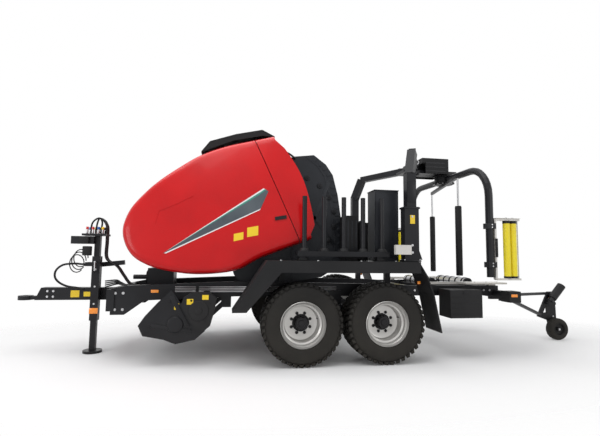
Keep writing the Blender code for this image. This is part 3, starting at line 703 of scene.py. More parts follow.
# ---------------------------------------------------------------- hood
@dataclass
class Hood:
    """The red roof and nose, and its two side doors."""

    outline: Outline = (
        (-0.87, 3.22), (-1.22, 3.13), (-1.58, 3.03), (-1.93, 2.88), (-2.20, 2.70), (-2.47, 2.49),
        (-2.66, 2.30), (-2.84, 2.06), (-2.92, 1.80), (-2.88, 1.58), (-2.76, 1.40), (-2.58, 1.29),
        (-2.36, 1.22), (-1.98, 1.165), (-1.59, 1.18), (-1.32, 1.24), (-1.02, 1.40), (-0.33, 1.66),
    )
    rear: Outline = ((-0.30, 1.87), (-0.34, 2.12), (-0.42, 2.46), (-0.54, 2.74), (-0.71, 3.01))
    rings: tuple[tuple[float, float], ...] = (
        (0.0, 0.0), (0.4, 0.0), (0.70, 0.0), (0.80, 0.002), (0.88, 0.007), (0.935, 0.018),
        (0.972, 0.036), (0.99, 0.058), (1.0, 0.082),
    )
    wall: tuple[float, ...] = (0.04, 0.12, 0.25, 0.45, 0.7)
    centre: tuple[float, float] = (-1.45, 2.0)
    bulge: float = 0.05
    steps: int = 5
    nose_end: int = 11
    split_y: float = 0.68
    trees: dict[int, BVHTree] = field(default_factory=dict)

    def half_width(self, x: float, z: float) -> float:
        """How far out the side is.

        Args:
            x: Along the machine.
            z: The height.

        Returns:
            The distance from the middle plane.
        """
        return 1.12 - 0.19 * (z - 1.3) + 0.07 * (x + 1.5)

    def surface(self, side: int) -> bmesh.types.BMesh:
        """One half of the hood as an open sheet.

        Args:
            side: -1 for the left half, 1 for the right.

        Returns:
            The sheet.
        """
        line = [(p.x, p.z) for p in curve_through([(x, 0.0, z) for x, z in self.outline], self.steps)]
        bm = bmesh.new()
        rows = []
        last = len(line) - 1
        for share, depth in self.rings:
            row = []
            for i, (x, z) in enumerate(line):
                (x0, z0), (x1, z1) = line[max(i - 1, 0)], line[min(i + 1, last)]
                length = math.hypot(x1 - x0, z1 - z0)
                px, pz = x - (z1 - z0) / length * depth, z + (x1 - x0) / length * depth
                row.append(bm.verts.new((px, side * self.half_width(px, pz) * share, pz)))
            rows.append(row)
        for ring, (first, second) in enumerate(zip(rows, rows[1:])):
            for i in range(last if ring > 3 else self.nose_end * self.steps):
                bm.faces.new((first[i], first[i + 1], second[i + 1], second[i]))
        back = [(p.x, p.z) for p in curve_through([(x, 0.0, z) for x, z in self.rear], self.steps)]
        edge = rows[-1] + [bm.verts.new((x, side * self.half_width(x, z), z)) for x, z in back]
        self._fill(bm, edge, side)
        loose = [v for v in bm.verts if not v.link_faces]
        bmesh.ops.delete(bm, geom=loose, context="VERTS")
        return bm

    def _fill(self, bm: bmesh.types.BMesh, edge: list[bmesh.types.BMVert], side: int) -> None:
        """Fills the side with rings that bulge a little.

        Args:
            bm: The sheet.
            edge: The closed edge of the side.
            side: -1 for the left, 1 for the right.
        """
        cx, cz = self.centre
        ring = edge
        for share in self.wall:
            inner = []
            for vert in edge:
                x = vert.co.x + (cx - vert.co.x) * share
                z = vert.co.z + (cz - vert.co.z) * share
                out = self.half_width(x, z) + self.bulge * (1 - (1 - share) ** 2)
                inner.append(bm.verts.new((x, side * out, z)))
            for i in range(len(edge)):
                j = (i + 1) % len(edge)
                bm.faces.new((ring[i], ring[j], inner[j], inner[i]))
            ring = inner
        tip = bm.verts.new((cx, side * (self.half_width(cx, cz) + self.bulge), cz))
        for i in range(len(ring)):
            bm.faces.new((ring[i], ring[(i + 1) % len(ring)], tip))

    def cut(self, bm: bmesh.types.BMesh, place: Point, normal: Point) -> None:
        """Cuts away what lies on the normal's side of a plane.

        Args:
            bm: The sheet.
            place: A point on the plane.
            normal: The way to the part cut off.
        """
        bmesh.ops.bisect_plane(
            bm, geom=[*bm.verts, *bm.edges, *bm.faces], plane_co=place, plane_no=normal,
            clear_outer=True,
        )

    def skin(
        self, sheets: Sequence[bmesh.types.BMesh], name: str, body: str, node: str
    ) -> bpy.types.Object:
        """Thickens sheets into one piece.

        Args:
            sheets: The open sheets.
            name: The piece's name.
            body: The body that it rides on.
            node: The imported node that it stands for.

        Returns:
            The piece.
        """
        shape = Shape()
        for bm in sheets:
            bmesh.ops.recalc_face_normals(bm, faces=bm.faces)
            heart = Vector((-1.5, 0.0, 2.0))
            outward = sum(f.normal.dot(f.calc_center_median() - heart) for f in bm.faces)
            if outward < 0:
                bmesh.ops.reverse_faces(bm, faces=bm.faces)
            mesh = bpy.data.meshes.new("sheet")
            bm.to_mesh(mesh)
            bm.free()
            obj = bpy.data.objects.new("sheet", mesh)
            bpy.context.scene.collection.objects.link(obj)
            thick = obj.modifiers.new("skin", "SOLIDIFY")
            thick.thickness = SKIN
            thick.offset = -1.0
            bpy.context.view_layer.update()
            graph = bpy.context.evaluated_depsgraph_get()
            done = bpy.data.meshes.new_from_object(obj.evaluated_get(graph))
            shape.bm.from_mesh(done)
            bpy.data.objects.remove(obj, do_unlink=True)
        return shape.build(name, body, Look.RED, [node], math.radians(28))

    def door_line(self, gap: float) -> tuple[Point, Point]:
        """The slanted plane between the door and the rear band.

        Args:
            gap: How far ahead of the band the door ends.

        Returns:
            A point on it and the way to the rear.
        """
        return (-0.52 - gap, 0.0, 1.67), (1.57, 0.0, 0.67)

    def build(self) -> None:
        """Makes the roof, the doors and what is on them."""
        roof = []
        for name, side in SIDES:
            strip = self.surface(side)
            self.cut(strip, (0, side * self.split_y, 0), (0, side, 0))
            roof.append(strip)
            band = self.surface(side)
            self.cut(band, (0, side * self.split_y, 0), (0, -side, 0))
            place, normal = self.door_line(0.0)
            self.cut(band, place, [-v for v in normal])
            roof.append(band)
            door = self.surface(side)
            self.cut(door, (0, side * (self.split_y + 0.006), 0), (0, -side, 0))
            place, normal = self.door_line(0.012)
            self.cut(door, place, normal)
            obj = self.skin([door], "side_door_skin_" + name, "side_door_" + name, "side_door_" + name)
            self.trees[side] = BVHTree.FromPolygons(
                [v.co for v in obj.data.vertices], [p.vertices for p in obj.data.polygons]
            )
            self.trim(name, side)
        self.skin(roof, "hood_roof_skin", "chassis", "hood_roof")

    def patch(self, outline: Outline, side: int, name: str, look: Look, lift: float = 0.0012) -> None:
        """Lays a thin convex patch on a side door.

        Args:
            outline: Its corners, clockwise as seen from the left.
            side: -1 for the left door, 1 for the right.
            name: The piece's name.
            look: Its finish.
            lift: How far it stands off the door.
        """
        xs, zs = [x for x, _ in outline], [z for _, z in outline]
        bm = bmesh.new()
        bmesh.ops.create_grid(bm, x_segments=48, y_segments=32, size=0.5)
        size = (max(xs) - min(xs) + 0.02, max(zs) - min(zs) + 0.02, 1.0)
        bmesh.ops.scale(bm, vec=size, verts=bm.verts)
        middle = ((max(xs) + min(xs)) / 2, (max(zs) + min(zs)) / 2)
        for vert in bm.verts:
            vert.co = Vector((vert.co.x + middle[0], 0.0, vert.co.y + middle[1]))
        heart = Vector((sum(xs) / len(xs), 0.0, sum(zs) / len(zs)))
        for (x0, z0), (x1, z1) in zip(outline, [*outline[1:], outline[0]]):
            normal = Vector((z1 - z0, 0.0, x0 - x1))
            if normal.dot(heart - Vector((x0, 0.0, z0))) > 0:
                normal = -normal
            self.cut(bm, (x0, 0.0, z0), normal)
        shape = Shape()
        front, rear = {}, {}
        for vert in bm.verts:
            outside = Vector((vert.co.x, side * 2.0, vert.co.z))
            hit = self.trees[side].ray_cast(outside, Vector((0, -side, 0)))[0]
            y = hit.y if hit else side * self.half_width(vert.co.x, vert.co.z)
            front[vert.index] = shape.bm.verts.new((vert.co.x, y + side * lift, vert.co.z))
            rear[vert.index] = shape.bm.verts.new((vert.co.x, y - side * 0.001, vert.co.z))
        bm.verts.index_update()
        for face in bm.faces:
            shape.bm.faces.new([front[v.index] for v in face.verts])
            shape.bm.faces.new([rear[v.index] for v in reversed(face.verts)])
        for edge in bm.edges:
            if len(edge.link_faces) == 1:
                a, b = (v.index for v in edge.verts)
                shape.bm.faces.new((front[a], front[b], rear[b], rear[a]))
        bm.free()
        door = "side_door_" + ("left" if side < 0 else "right")
        shape.build(name, door, look)

    def trim(self, name: str, side: int) -> None:
        """The stripe wedge, plain patches and the handle of one door.

        Args:
            name: The side's name.
            side: -1 for the left door, 1 for the right.
        """
        wedge = ((-2.35, 1.44), (-1.02, 2.38), (-0.95, 2.34), (-1.06, 2.08))
        self.patch(wedge, side, "stripe_wedge_" + name, Look.SHEEN)
        teal = ((-2.35, 1.44), (-1.02, 2.38), (-0.98, 2.36), (-1.10, 2.27))
        self.patch(teal, side, "stripe_teal_" + name, Look.TEAL, 0.0020)
        white = ((-2.35, 1.44), (-1.02, 2.38), (-1.00, 2.37), (-1.06, 2.325))
        self.patch(white, side, "stripe_white_" + name, Look.WHITE, 0.0028)
        rule = ((-1.075, 2.06), (-1.055, 2.085), (-2.33, 1.448), (-2.30, 1.446))
        self.patch(rule, side, "stripe_rule_" + name, Look.WHITE, 0.0020)
        for i, (x, z, w, h) in enumerate(((-1.42, 1.62, 0.13, 0.10), (-1.24, 1.68, 0.15, 0.13))):
            corners = ((x, z), (x, z + h), (x + w, z + h + 0.03), (x + w, z + 0.03))
            self.patch(corners, side, f"plain_patch_{i}_{name}", Look.LABEL)
        crease = ((-2.48, 1.85), (-2.44, 2.03), (-2.22, 2.13), (-2.0, 2.25))
        for i, (low, high) in enumerate(zip(crease, crease[1:])):
            ridge = (low, high, (high[0] + 0.010, high[1] - 0.012), (low[0] + 0.010, low[1] - 0.012))
            self.patch(ridge, side, f"crease_{i}_{name}", Look.RED, 0.004)
        latch = ((-0.86, 1.92), (-0.86, 1.97), (-0.70, 2.0), (-0.70, 1.95))
        self.patch(latch, side, "door_grip_" + name, Look.MOULDED, 0.012)


# ---------------------------------------------------------------- wheels
@dataclass
class RoadWheel:
    """A tyre with block tread on a silver dished rim."""

    name: str
    x: float
    side: int
    radius: float = 0.54
    width: float = 0.50
    outer_y: float = 1.44
    blocks: int = 40
    rows: tuple[Point, ...] = (  # depth, shift in blocks and lean of each row of blocks
        (0.066, 0.0, 0.5), (0.19, 0.5, 0.35), (0.31, 0.0, -0.35), (0.434, 0.5, -0.5),
    )
    studs: int = 8

    def y(self, depth: float) -> float:
        """The y of a place that lies in from the outer wall.

        Args:
            depth: How far in.

        Returns:
            Its y.
        """
        return self.side * (self.outer_y - depth)

    def tyre(self, centre: Point) -> None:
        """Makes the tyre and its tread blocks.

        Args:
            centre: A point on the axle.
        """
        base = self.radius - 0.024
        half = (
            (0.300, 0.022), (0.315, 0.010), (0.345, 0.006), (0.40, 0.003), (0.445, 0.006),
            (0.480, 0.016), (base - 0.018, 0.036), (base - 0.004, 0.062), (base, 0.11),
        )
        section = [(r, self.y(d)) for r, d in half]
        section += [(r, self.y(self.width - d)) for r, d in reversed(half)]
        section += [(0.285, self.y(self.width - 0.05)), (0.285, self.y(0.05))]
        shape = Shape().turned(section, centre, 72)
        cx, _, cz = centre
        for i in range(self.blocks):
            for row, (depth, shift, lean) in enumerate(self.rows):
                angle = math.tau * (i + shift) / self.blocks
                spoke = Vector((math.cos(angle), 0.0, math.sin(angle)))
                along = Vector((-math.sin(angle), 0.0, math.cos(angle)))
                outer = row in (0, 3)
                top = self.radius - (0.0065 if outer else 0.0015)
                verts = bmesh.ops.create_cube(shape.bm, size=1.0)["verts"]
                tall = 0.036 if outer else 0.026
                size = (0.046, 0.105 if outer else 0.098, tall)
                turn = Matrix((along, Vector((0, 1, 0)), spoke)).transposed().to_4x4()
                twist = Matrix.Rotation(lean * self.side, 4, "Z")
                place = Vector((cx, self.y(depth), cz)) + spoke * (top - tall / 2)
                bmesh.ops.scale(shape.bm, vec=size, verts=verts)
                turn = Matrix.Translation(place) @ turn @ twist
                bmesh.ops.transform(shape.bm, matrix=turn, verts=verts)
        for i in range(self.blocks):
            angle = math.tau * i / self.blocks
            for depth, sign in ((0.012, 1), (self.width - 0.012, -1)):
                spoke = Vector((math.cos(angle), 0.0, math.sin(angle)))
                start = Vector((cx, self.y(depth + 0.012 * sign), cz)) + spoke * 0.455
                end = Vector((cx, self.y(depth + 0.045 * sign), cz)) + spoke * 0.516
                shape.bar(start, end, 0.034, 0.022, 0.0)
        shape.build("tyre_" + self.name, "wheel_" + self.name, Look.TYRE, ["wheel_" + self.name])

    def rim(self, centre: Point) -> None:
        """Makes the rim, its disc, the hub and the studs.

        Args:
            centre: A point on the axle.
        """
        section = (
            (0.296, 0.008), (0.302, 0.014), (0.302, 0.024), (0.292, 0.036), (0.268, 0.060),
            (0.262, 0.085), (0.262, 0.105), (0.240, 0.120), (0.236, 0.135), (0.235, 0.200),
            (0.222, 0.226), (0.190, 0.238), (0.150, 0.232), (0.118, 0.230), (0.118, 0.244),
            (0.235, 0.262), (0.262, 0.300), (0.264, 0.440), (0.300, 0.475), (0.292, 0.484),
            (0.275, 0.450), (0.272, 0.100), (0.276, 0.060), (0.290, 0.026),
        )
        steel = Shape().turned([(r, self.y(d)) for r, d in section], centre, 72)
        steel.build("rim_" + self.name, "wheel_" + self.name, Look.RIM)
        cx, _, cz = centre
        out = Vector((0.0, self.side, 0.0))
        dark = Shape()
        dark.rod((cx, self.y(0.244), cz), (cx, self.y(0.14), cz), 0.092, 32, 0.078, 0.006)
        dark.rod((cx, self.y(0.38), cz), (cx, self.y(0.24), cz), 0.115, 32)
        dark.rod((cx, self.y(0.145), cz), (cx, self.y(0.128), cz), 0.052, 24, 0.045, 0.004)
        dark.build("hub_" + self.name, "wheel_" + self.name, Look.FRAME)
        nuts = Shape()
        for i in range(self.studs):
            angle = math.tau * (i + 0.5) / self.studs
            place = Vector((cx + 0.137 * math.cos(angle), self.y(0.232), cz + 0.137 * math.sin(angle)))
            nuts.bolts([place], out, 0.016, 0.024)
            nuts.rod(place, place + out * 0.036, 0.009, 10)
        valve = Vector((cx + 0.215, self.y(0.228), cz + 0.06))
        nuts.rod(valve, valve + out * 0.05, 0.006, 8)
        nuts.build("wheel_nuts_" + self.name, "wheel_" + self.name, Look.FRAME)

    def build(self) -> None:
        """Makes the whole wheel."""
        centre = (self.x, 0.0, self.radius)
        self.tyre(centre)
        self.rim(centre)


def road_wheels() -> None:
    """Makes the four road wheels."""
    for row, x in (("front", 0.07 - 1.147 / 2), ("rear", 0.07 + 1.147 / 2)):
        for name, side in SIDES:
            RoadWheel(f"{row}_{name}", x, side).build()


# ---------------------------------------------------------------- chassis
@dataclass
class Chassis:
    """Bolts, reflectors, pipes and patches of the frame."""

    def build(self) -> None:
        """Makes them all."""
        self.fasteners()
        self.lights()
        self.pipes()
        self.drawbar()

    def fasteners(self) -> None:
        """Bolt heads on the beams and fenders."""
        shape = Shape()
        for _, side in SIDES:
            out = (0, side, 0)
            y = BEAM_FACE * side
            shape.bolts([(x, y, z) for x in (-2.98, -2.88) for z in (0.68, 0.90)], out, 0.014, 0.012)
            row = (-1.95, -1.86, 1.34, 1.42, 1.5, 2.5, 2.6)
            shape.bolts([(x, y, 0.93) for x in row], out, 0.012, 0.01)
            shape.bolts([(x, 1.35 * side, 1.37) for x in (-0.8, -0.3, 0.3, 0.8)], (0, 0, 1), 0.012, 0.01)
        shape.build("frame_bolts", "chassis", Look.ZINC)
        edge = Shape()
        for _, side in SIDES:
            edge.bar((-0.97, 1.447 * side, 1.30), (1.10, 1.447 * side, 1.30), 0.004, 0.012, 0.001)
            edge.bar((-0.93, 1.447 * side, 1.225), (1.10, 1.447 * side, 1.225), 0.004, 0.008, 0.001)
        edge.build("fender_ribs", "chassis", Look.MOULDED)

    def lights(self) -> None:
        """Reflectors, rear lenses and plain patches."""
        amber = Shape()
        for _, side in SIDES:
            amber.box((-2.52, 0.770 * side, 0.905), (-2.42, 0.779 * side, 0.945), 0.003)
            amber.box((1.14, 1.28 * side, 1.06), (1.18, 1.30 * side, 1.10), 0.003)
            amber.box((2.60, 1.28 * side, 0.87), (2.70, 1.288 * side, 0.91), 0.003)
            amber.box((1.545, 0.76 * side, 0.93), (1.63, 0.775 * side, 0.96), 0.003)
        amber.box((-3.46, -0.262, 0.56), (-3.34, -0.256, 0.64), 0.003)
        amber.build("side_reflectors", "chassis", Look.AMBER)
        red = Shape()
        for _, side in SIDES:
            red.box((2.758, 1.10 * side, 0.81), (2.766, 1.26 * side, 0.93), 0.003)
        red.build("rear_lenses", "chassis", Look.LENS)
        patches = Shape()
        patches.box((-3.78, -0.0815, 0.78), (-3.66, -0.0805, 0.88), 0.0)
        patches.box((-3.60, -0.0815, 0.79), (-3.50, -0.0805, 0.86), 0.0)
        patches.box((1.00, -1.3815, 1.90), (1.07, -1.3805, 2.02), 0.0)
        patches.box((0.62, -1.091, 2.05), (0.70, -1.0905, 2.15), 0.0)
        patches.build("plain_patches_frame", "chassis", Look.LABEL)

    def pipes(self) -> None:
        """Steel pipes and hoses clipped along the frame."""
        pipe = Shape()
        hose = Shape()
        clips = Shape()
        for i in range(4):
            z = 0.985 - 0.022 * i
            pipe.tube([(-2.20, -0.778, z), (-1.30, -0.778, z), (0.1, -0.778, z)], 0.007, 8)
            y = -0.05 + 0.033 * i
            line = [(-3.56 + 0.06 * i, y, 1.74), (-3.54 + 0.06 * i, y, 1.90), (-3.44, y, 1.97),
                    (-3.34, y, 1.86), (-3.33, y, 1.62), (-3.32, y, 1.36), (-3.16, y, 1.24),
                    (-3.06, y, 1.10), (-2.95, y, 0.97), (-2.75, y, 0.94)]
            hose.tube(curve_through(line, 6), 0.013, 10)
            side = -0.62 + 0.035 * i
            brake = [(-3.30, -0.10, 0.93 + 0.03 * i), (-3.12, -0.18, 0.98 + 0.02 * i),
                     (-3.0, -0.40, 0.99 + 0.01 * i), (-2.86, side, 0.99), (-2.5, side, 0.97)]
            hose.tube(curve_through(brake, 6), 0.010, 8)
        for x in (-1.9, -1.2, -0.5):
            clips.box((x - 0.02, -0.770, 0.905), (x + 0.02, -0.790, 1.0), 0.003)
        pipe.build("steel_pipes", "chassis", Look.ZINC)
        hose.build("clipped_hoses", "chassis", Look.HOSE)
        clips.build("pipe_clips", "chassis", Look.MOULDED)

    def drawbar(self) -> None:
        """The jack's crank, couplings and the eye's bolts."""
        steel = Shape()
        near = (0, -1, 0)
        steel.bolts([(x, -0.08, z) for x in (-4.10, -4.02) for z in (0.79, 0.87)], near, 0.012, 0.01)
        steel.bolts([(JACK_X, -0.256, z) for z in (0.70, 0.95, 1.2)], near, 0.010, 0.008)
        steel.rod((JACK_X, -0.255, 1.31), (JACK_X, -0.32, 1.31), 0.012, 12)
        steel.rod((JACK_X, -0.31, 1.31), (JACK_X, -0.31, 1.16), 0.009, 10)
        for i, x in enumerate((-3.60, -3.52, -3.44, -3.38)):
            for y in (-0.08, 0.06):
                steel.rod((x, y, 1.725), (x, y, 1.80), 0.017, 12, bevel=0.003)
        steel.rod((-3.78, -0.05, 1.635), (-3.86 + 0.045, -0.05, 1.635), 0.02, 12)
        steel.build("couplings", "chassis", Look.ZINC)
        for look, spots in (
            (Look.LENS, ((-3.60, -0.08), (-3.52, -0.08))),
            (Look.BLUE, ((-3.44, -0.08), (-3.60, 0.06))),
            (Look.LABEL, ((-3.38, -0.08), (-3.52, 0.06))),
            (Look.MOULDED, ((-3.44, 0.06), (-3.38, 0.06))),
        ):
            caps = Shape()
            for x, y in spots:
                caps.rod((x, y, 1.795), (x, y, 1.835), 0.021, 16, 0.018, 0.003)
            caps.build("coupling_caps_" + look.name.lower(), "chassis", look)
        grip = Shape()
        grip.rod((JACK_X, -0.31, 1.165), (JACK_X, -0.36, 1.165), 0.015, 12, bevel=0.004)
        grip.box((-3.70, -0.10, 1.58), (-3.56, -0.13, 1.68), 0.008)
        grip.box((-3.64, -0.135, 1.40), (-3.52, -0.06, 1.54), 0.01)
        grip.build("jack_grip", "chassis", Look.MOULDED)
        loops = Shape()
        for i in range(3):
            z = 1.46 - 0.04 * i
            x, y = -3.67 - 0.02 * i, -0.07 - 0.02 * i
            ring = [(x + 0.10 * math.cos(a), y, z + 0.13 * math.sin(a) - 0.1)
                    for a in (math.tau * k / 24 for k in range(22))]
            loops.tube(ring, 0.008, 8)
        loops.build("clipped_cable_turns", "chassis", Look.HOSE)


# ---------------------------------------------------------------- baler
@dataclass
class Baler:
    """What shows on the chamber, the tailgate and the pickup."""

    teeth: int = 17
    gate_edge: Outline = (
        (-0.23, 2.975), (-0.04, 2.835), (0.07, 2.675), (0.15, 2.36), (0.24, 1.76), (0.24, 1.50),
        (0.14, 1.27),
    )

    def build(self) -> None:
        """Makes it all."""
        self.gate()
        self.chamber()
        self.pickup()
        self.roof()

    def gate(self) -> None:
        """Ribs, rollers' bearings and the toothed rear edge of the tailgate."""
        rear = [Vector((x, 0, z)) for x, z in self.gate_edge]
        spans = list(zip(rear, rear[1:]))
        total = sum((b - a).length for a, b in spans)
        shape = Shape()
        for _, side in SIDES:
            y = GATE_FACE * side
            for i in range(self.teeth):
                left = total * (i + 0.5) / self.teeth
                for a, b in spans:
                    if left <= (b - a).length:
                        break
                    left -= (b - a).length
                along = (b - a).normalized()
                inward = Vector((along.z, 0, -along.x))
                if inward.dot(Vector((-0.4, 0, 2.0)) - a) < 0:
                    inward = -inward
                place = a + along * left
                start = place + inward * 0.012
                end = place + inward * 0.085
                shape.bar((start.x, y, start.z), (end.x, y, end.z), 0.016, 0.042, 0.003)
            for a, b in spans:
                inner = Vector((-0.13, y, -0.02))
                shape.bar(a + inner, b + inner, 0.012, 0.02, 0.002)
            shape.bar((-0.50, y, 1.25), (0.02, y, 2.60), 0.014, 0.05, 0.003)
            shape.bar((-0.50, y, 2.40), (0.10, y, 1.60), 0.014, 0.05, 0.003)
        shape.build("gate_ribs", "tailgate", Look.GRAPHITE)
        caps = Shape()
        for _, side in SIDES:
            for angle in range(-70, 80, 20):
                x = -0.56 + 0.66 * math.cos(math.radians(angle))
                z = 2.0 + 0.66 * math.sin(math.radians(angle))
                caps.rod((x, 0.65 * side, z), (x, 0.672 * side, z), 0.045, 20, 0.04, 0.004)
                caps.bolts([(x, 0.67 * side, z)], (0, side, 0), 0.010, 0.008)
        caps.build("gate_bearings", "tailgate", Look.FRAME)

    def chamber(self) -> None:
        """Bearings on the fixed half."""
        caps = Shape()
        for _, side in SIDES:
            for angle in range(100, 225, 20):
                x = -0.66 + 0.77 * math.cos(math.radians(angle))
                z = 2.02 + 0.77 * math.sin(math.radians(angle))
                caps.rod((x, 0.64 * side, z), (x, 0.662 * side, z), 0.045, 20, 0.04, 0.004)
        caps.build("chamber_bearings", "chassis", Look.FRAME)

    def pickup(self) -> None:
        """Tines, strips, side trim and the caps of the drive guards."""
        tines = Shape()
        x0, z0 = REEL_AXIS
        for row in range(4):
            angle = math.tau * row / 4 + 0.5
            spoke = Vector((math.cos(angle), 0, math.sin(angle)))
            lean = Vector((-math.sin(angle), 0, math.cos(angle)))
            root = Vector((x0, 0, z0)) + spoke * 0.05
            bar = Vector((x0, 0, z0)) + spoke * 0.105
            tines.rod((bar.x, -1.08, bar.z), (bar.x, 1.08, bar.z), 0.012, 10)
            for i in range(30):
                y = -1.06 + 2.12 * i / 29
                tip = root + spoke * 0.125 + lean * 0.03
                tines.rod((bar.x, y, bar.z), (tip.x, y, tip.z), 0.004, 6, 0.003)
        tines.build("pickup_tines", "pickup_reel", Look.ZINC)
        dark = Shape()
        for _, side in SIDES:
            y = 1.14 * side
            dark.rod((x0, y, z0), (x0, y + 0.02 * side, z0), 0.11, 28, 0.095, 0.006)
            dark.bar((-2.44, y, 0.52), (-1.93, y, 0.44), 0.016, 0.05, 0.004)
            dark.bar((-2.20, y, 0.90), (-1.98, y, 0.50), 0.016, 0.06, 0.004)
            dark.bolts([(-2.46, y, 0.50), (-2.22, y, 0.82), (-1.96, y, 0.46)], (0, side, 0), 0.012, 0.01)
        for i in range(24):
            y = -1.04 + 2.08 * i / 23
            if 0.62 < abs(y) < 0.80:
                continue  # room for the side beam when the pickup is up
            arc = [(x0 + 0.19 * math.cos(a), y, z0 + 0.19 * math.sin(a))
                   for a in (math.radians(20 + 16 * k) for k in range(9))]
            dark.tube([*arc, (x0 - 0.19, y, 0.50)], 0.008, 6)
        dark.build("pickup_trim", "pickup", Look.FRAME)
        guard = Shape()
        for _, side in SIDES:
            y = 1.28 * side
            guard.rod((-1.84, y, 0.72), (-1.84, y + 0.012 * side, 0.72), 0.13, 32, 0.12, 0.004)
            guard.rod((-1.84, y, 0.72), (-1.84, y + 0.02 * side, 0.72), 0.05, 24, 0.045, 0.004)
            places = [(-1.84 + 0.16 * math.cos(a), y, 0.72 + 0.16 * math.sin(a))
                      for a in (0.6, 2.2, 3.7, 5.3)]
            guard.bolts(places, (0, side, 0), 0.010, 0.008)
        guard.build("drive_guard_caps", "chassis", Look.MOULDED)
        patch = Shape()
        patch.box((-1.99, -1.282, 0.80), (-1.91, -1.2805, 0.87), 0.0)
        patch.box((-1.80, -1.282, 0.86), (-1.72, -1.2805, 0.92), 0.0)
        patch.build("plain_patches_guard", "chassis", Look.LABEL)
        arrow = Shape().box((-2.16, -1.1412, 0.72), (-2.10, -1.1402, 0.80), 0.0)
        arrow.build("plain_patch_pickup", "pickup", Look.LABEL)

    def roof(self) -> None:
        """The lifting eye, the ribs of the spoiler and the gate's hinge arms."""
        shape = Shape()
        shape.turned([(0.030 + 0.009 * math.cos(a), 0.009 * math.sin(a)) for a in
                      (math.tau * k / 10 for k in range(10))], (-0.90, 0.0, 3.29), 28)
        shape.box((-0.925, -0.012, 3.19), (-0.875, 0.012, 3.262), 0.003)
        shape.build("lifting_eye", "chassis", Look.ZINC)
        bands = Shape()
        for i in range(5):
            y = -0.52 + 0.26 * i
            bands.bar((-1.78, y, 3.116), (-1.05, y, 3.322), 0.03, 0.008, 0.002)
        bands.build("spoiler_ribs", "chassis", Look.MOULDED)
        rail = Shape()
        for _, side in SIDES:
            line = [(-0.78, 0.60 * side, 3.06), (-0.62, 0.66 * side, 2.98), (-0.52, 0.69 * side, 2.90)]
            rail.tube(curve_through(line, 5), 0.016, 10)
        rail.build("gate_hinge_arms", "chassis", Look.FRAME)


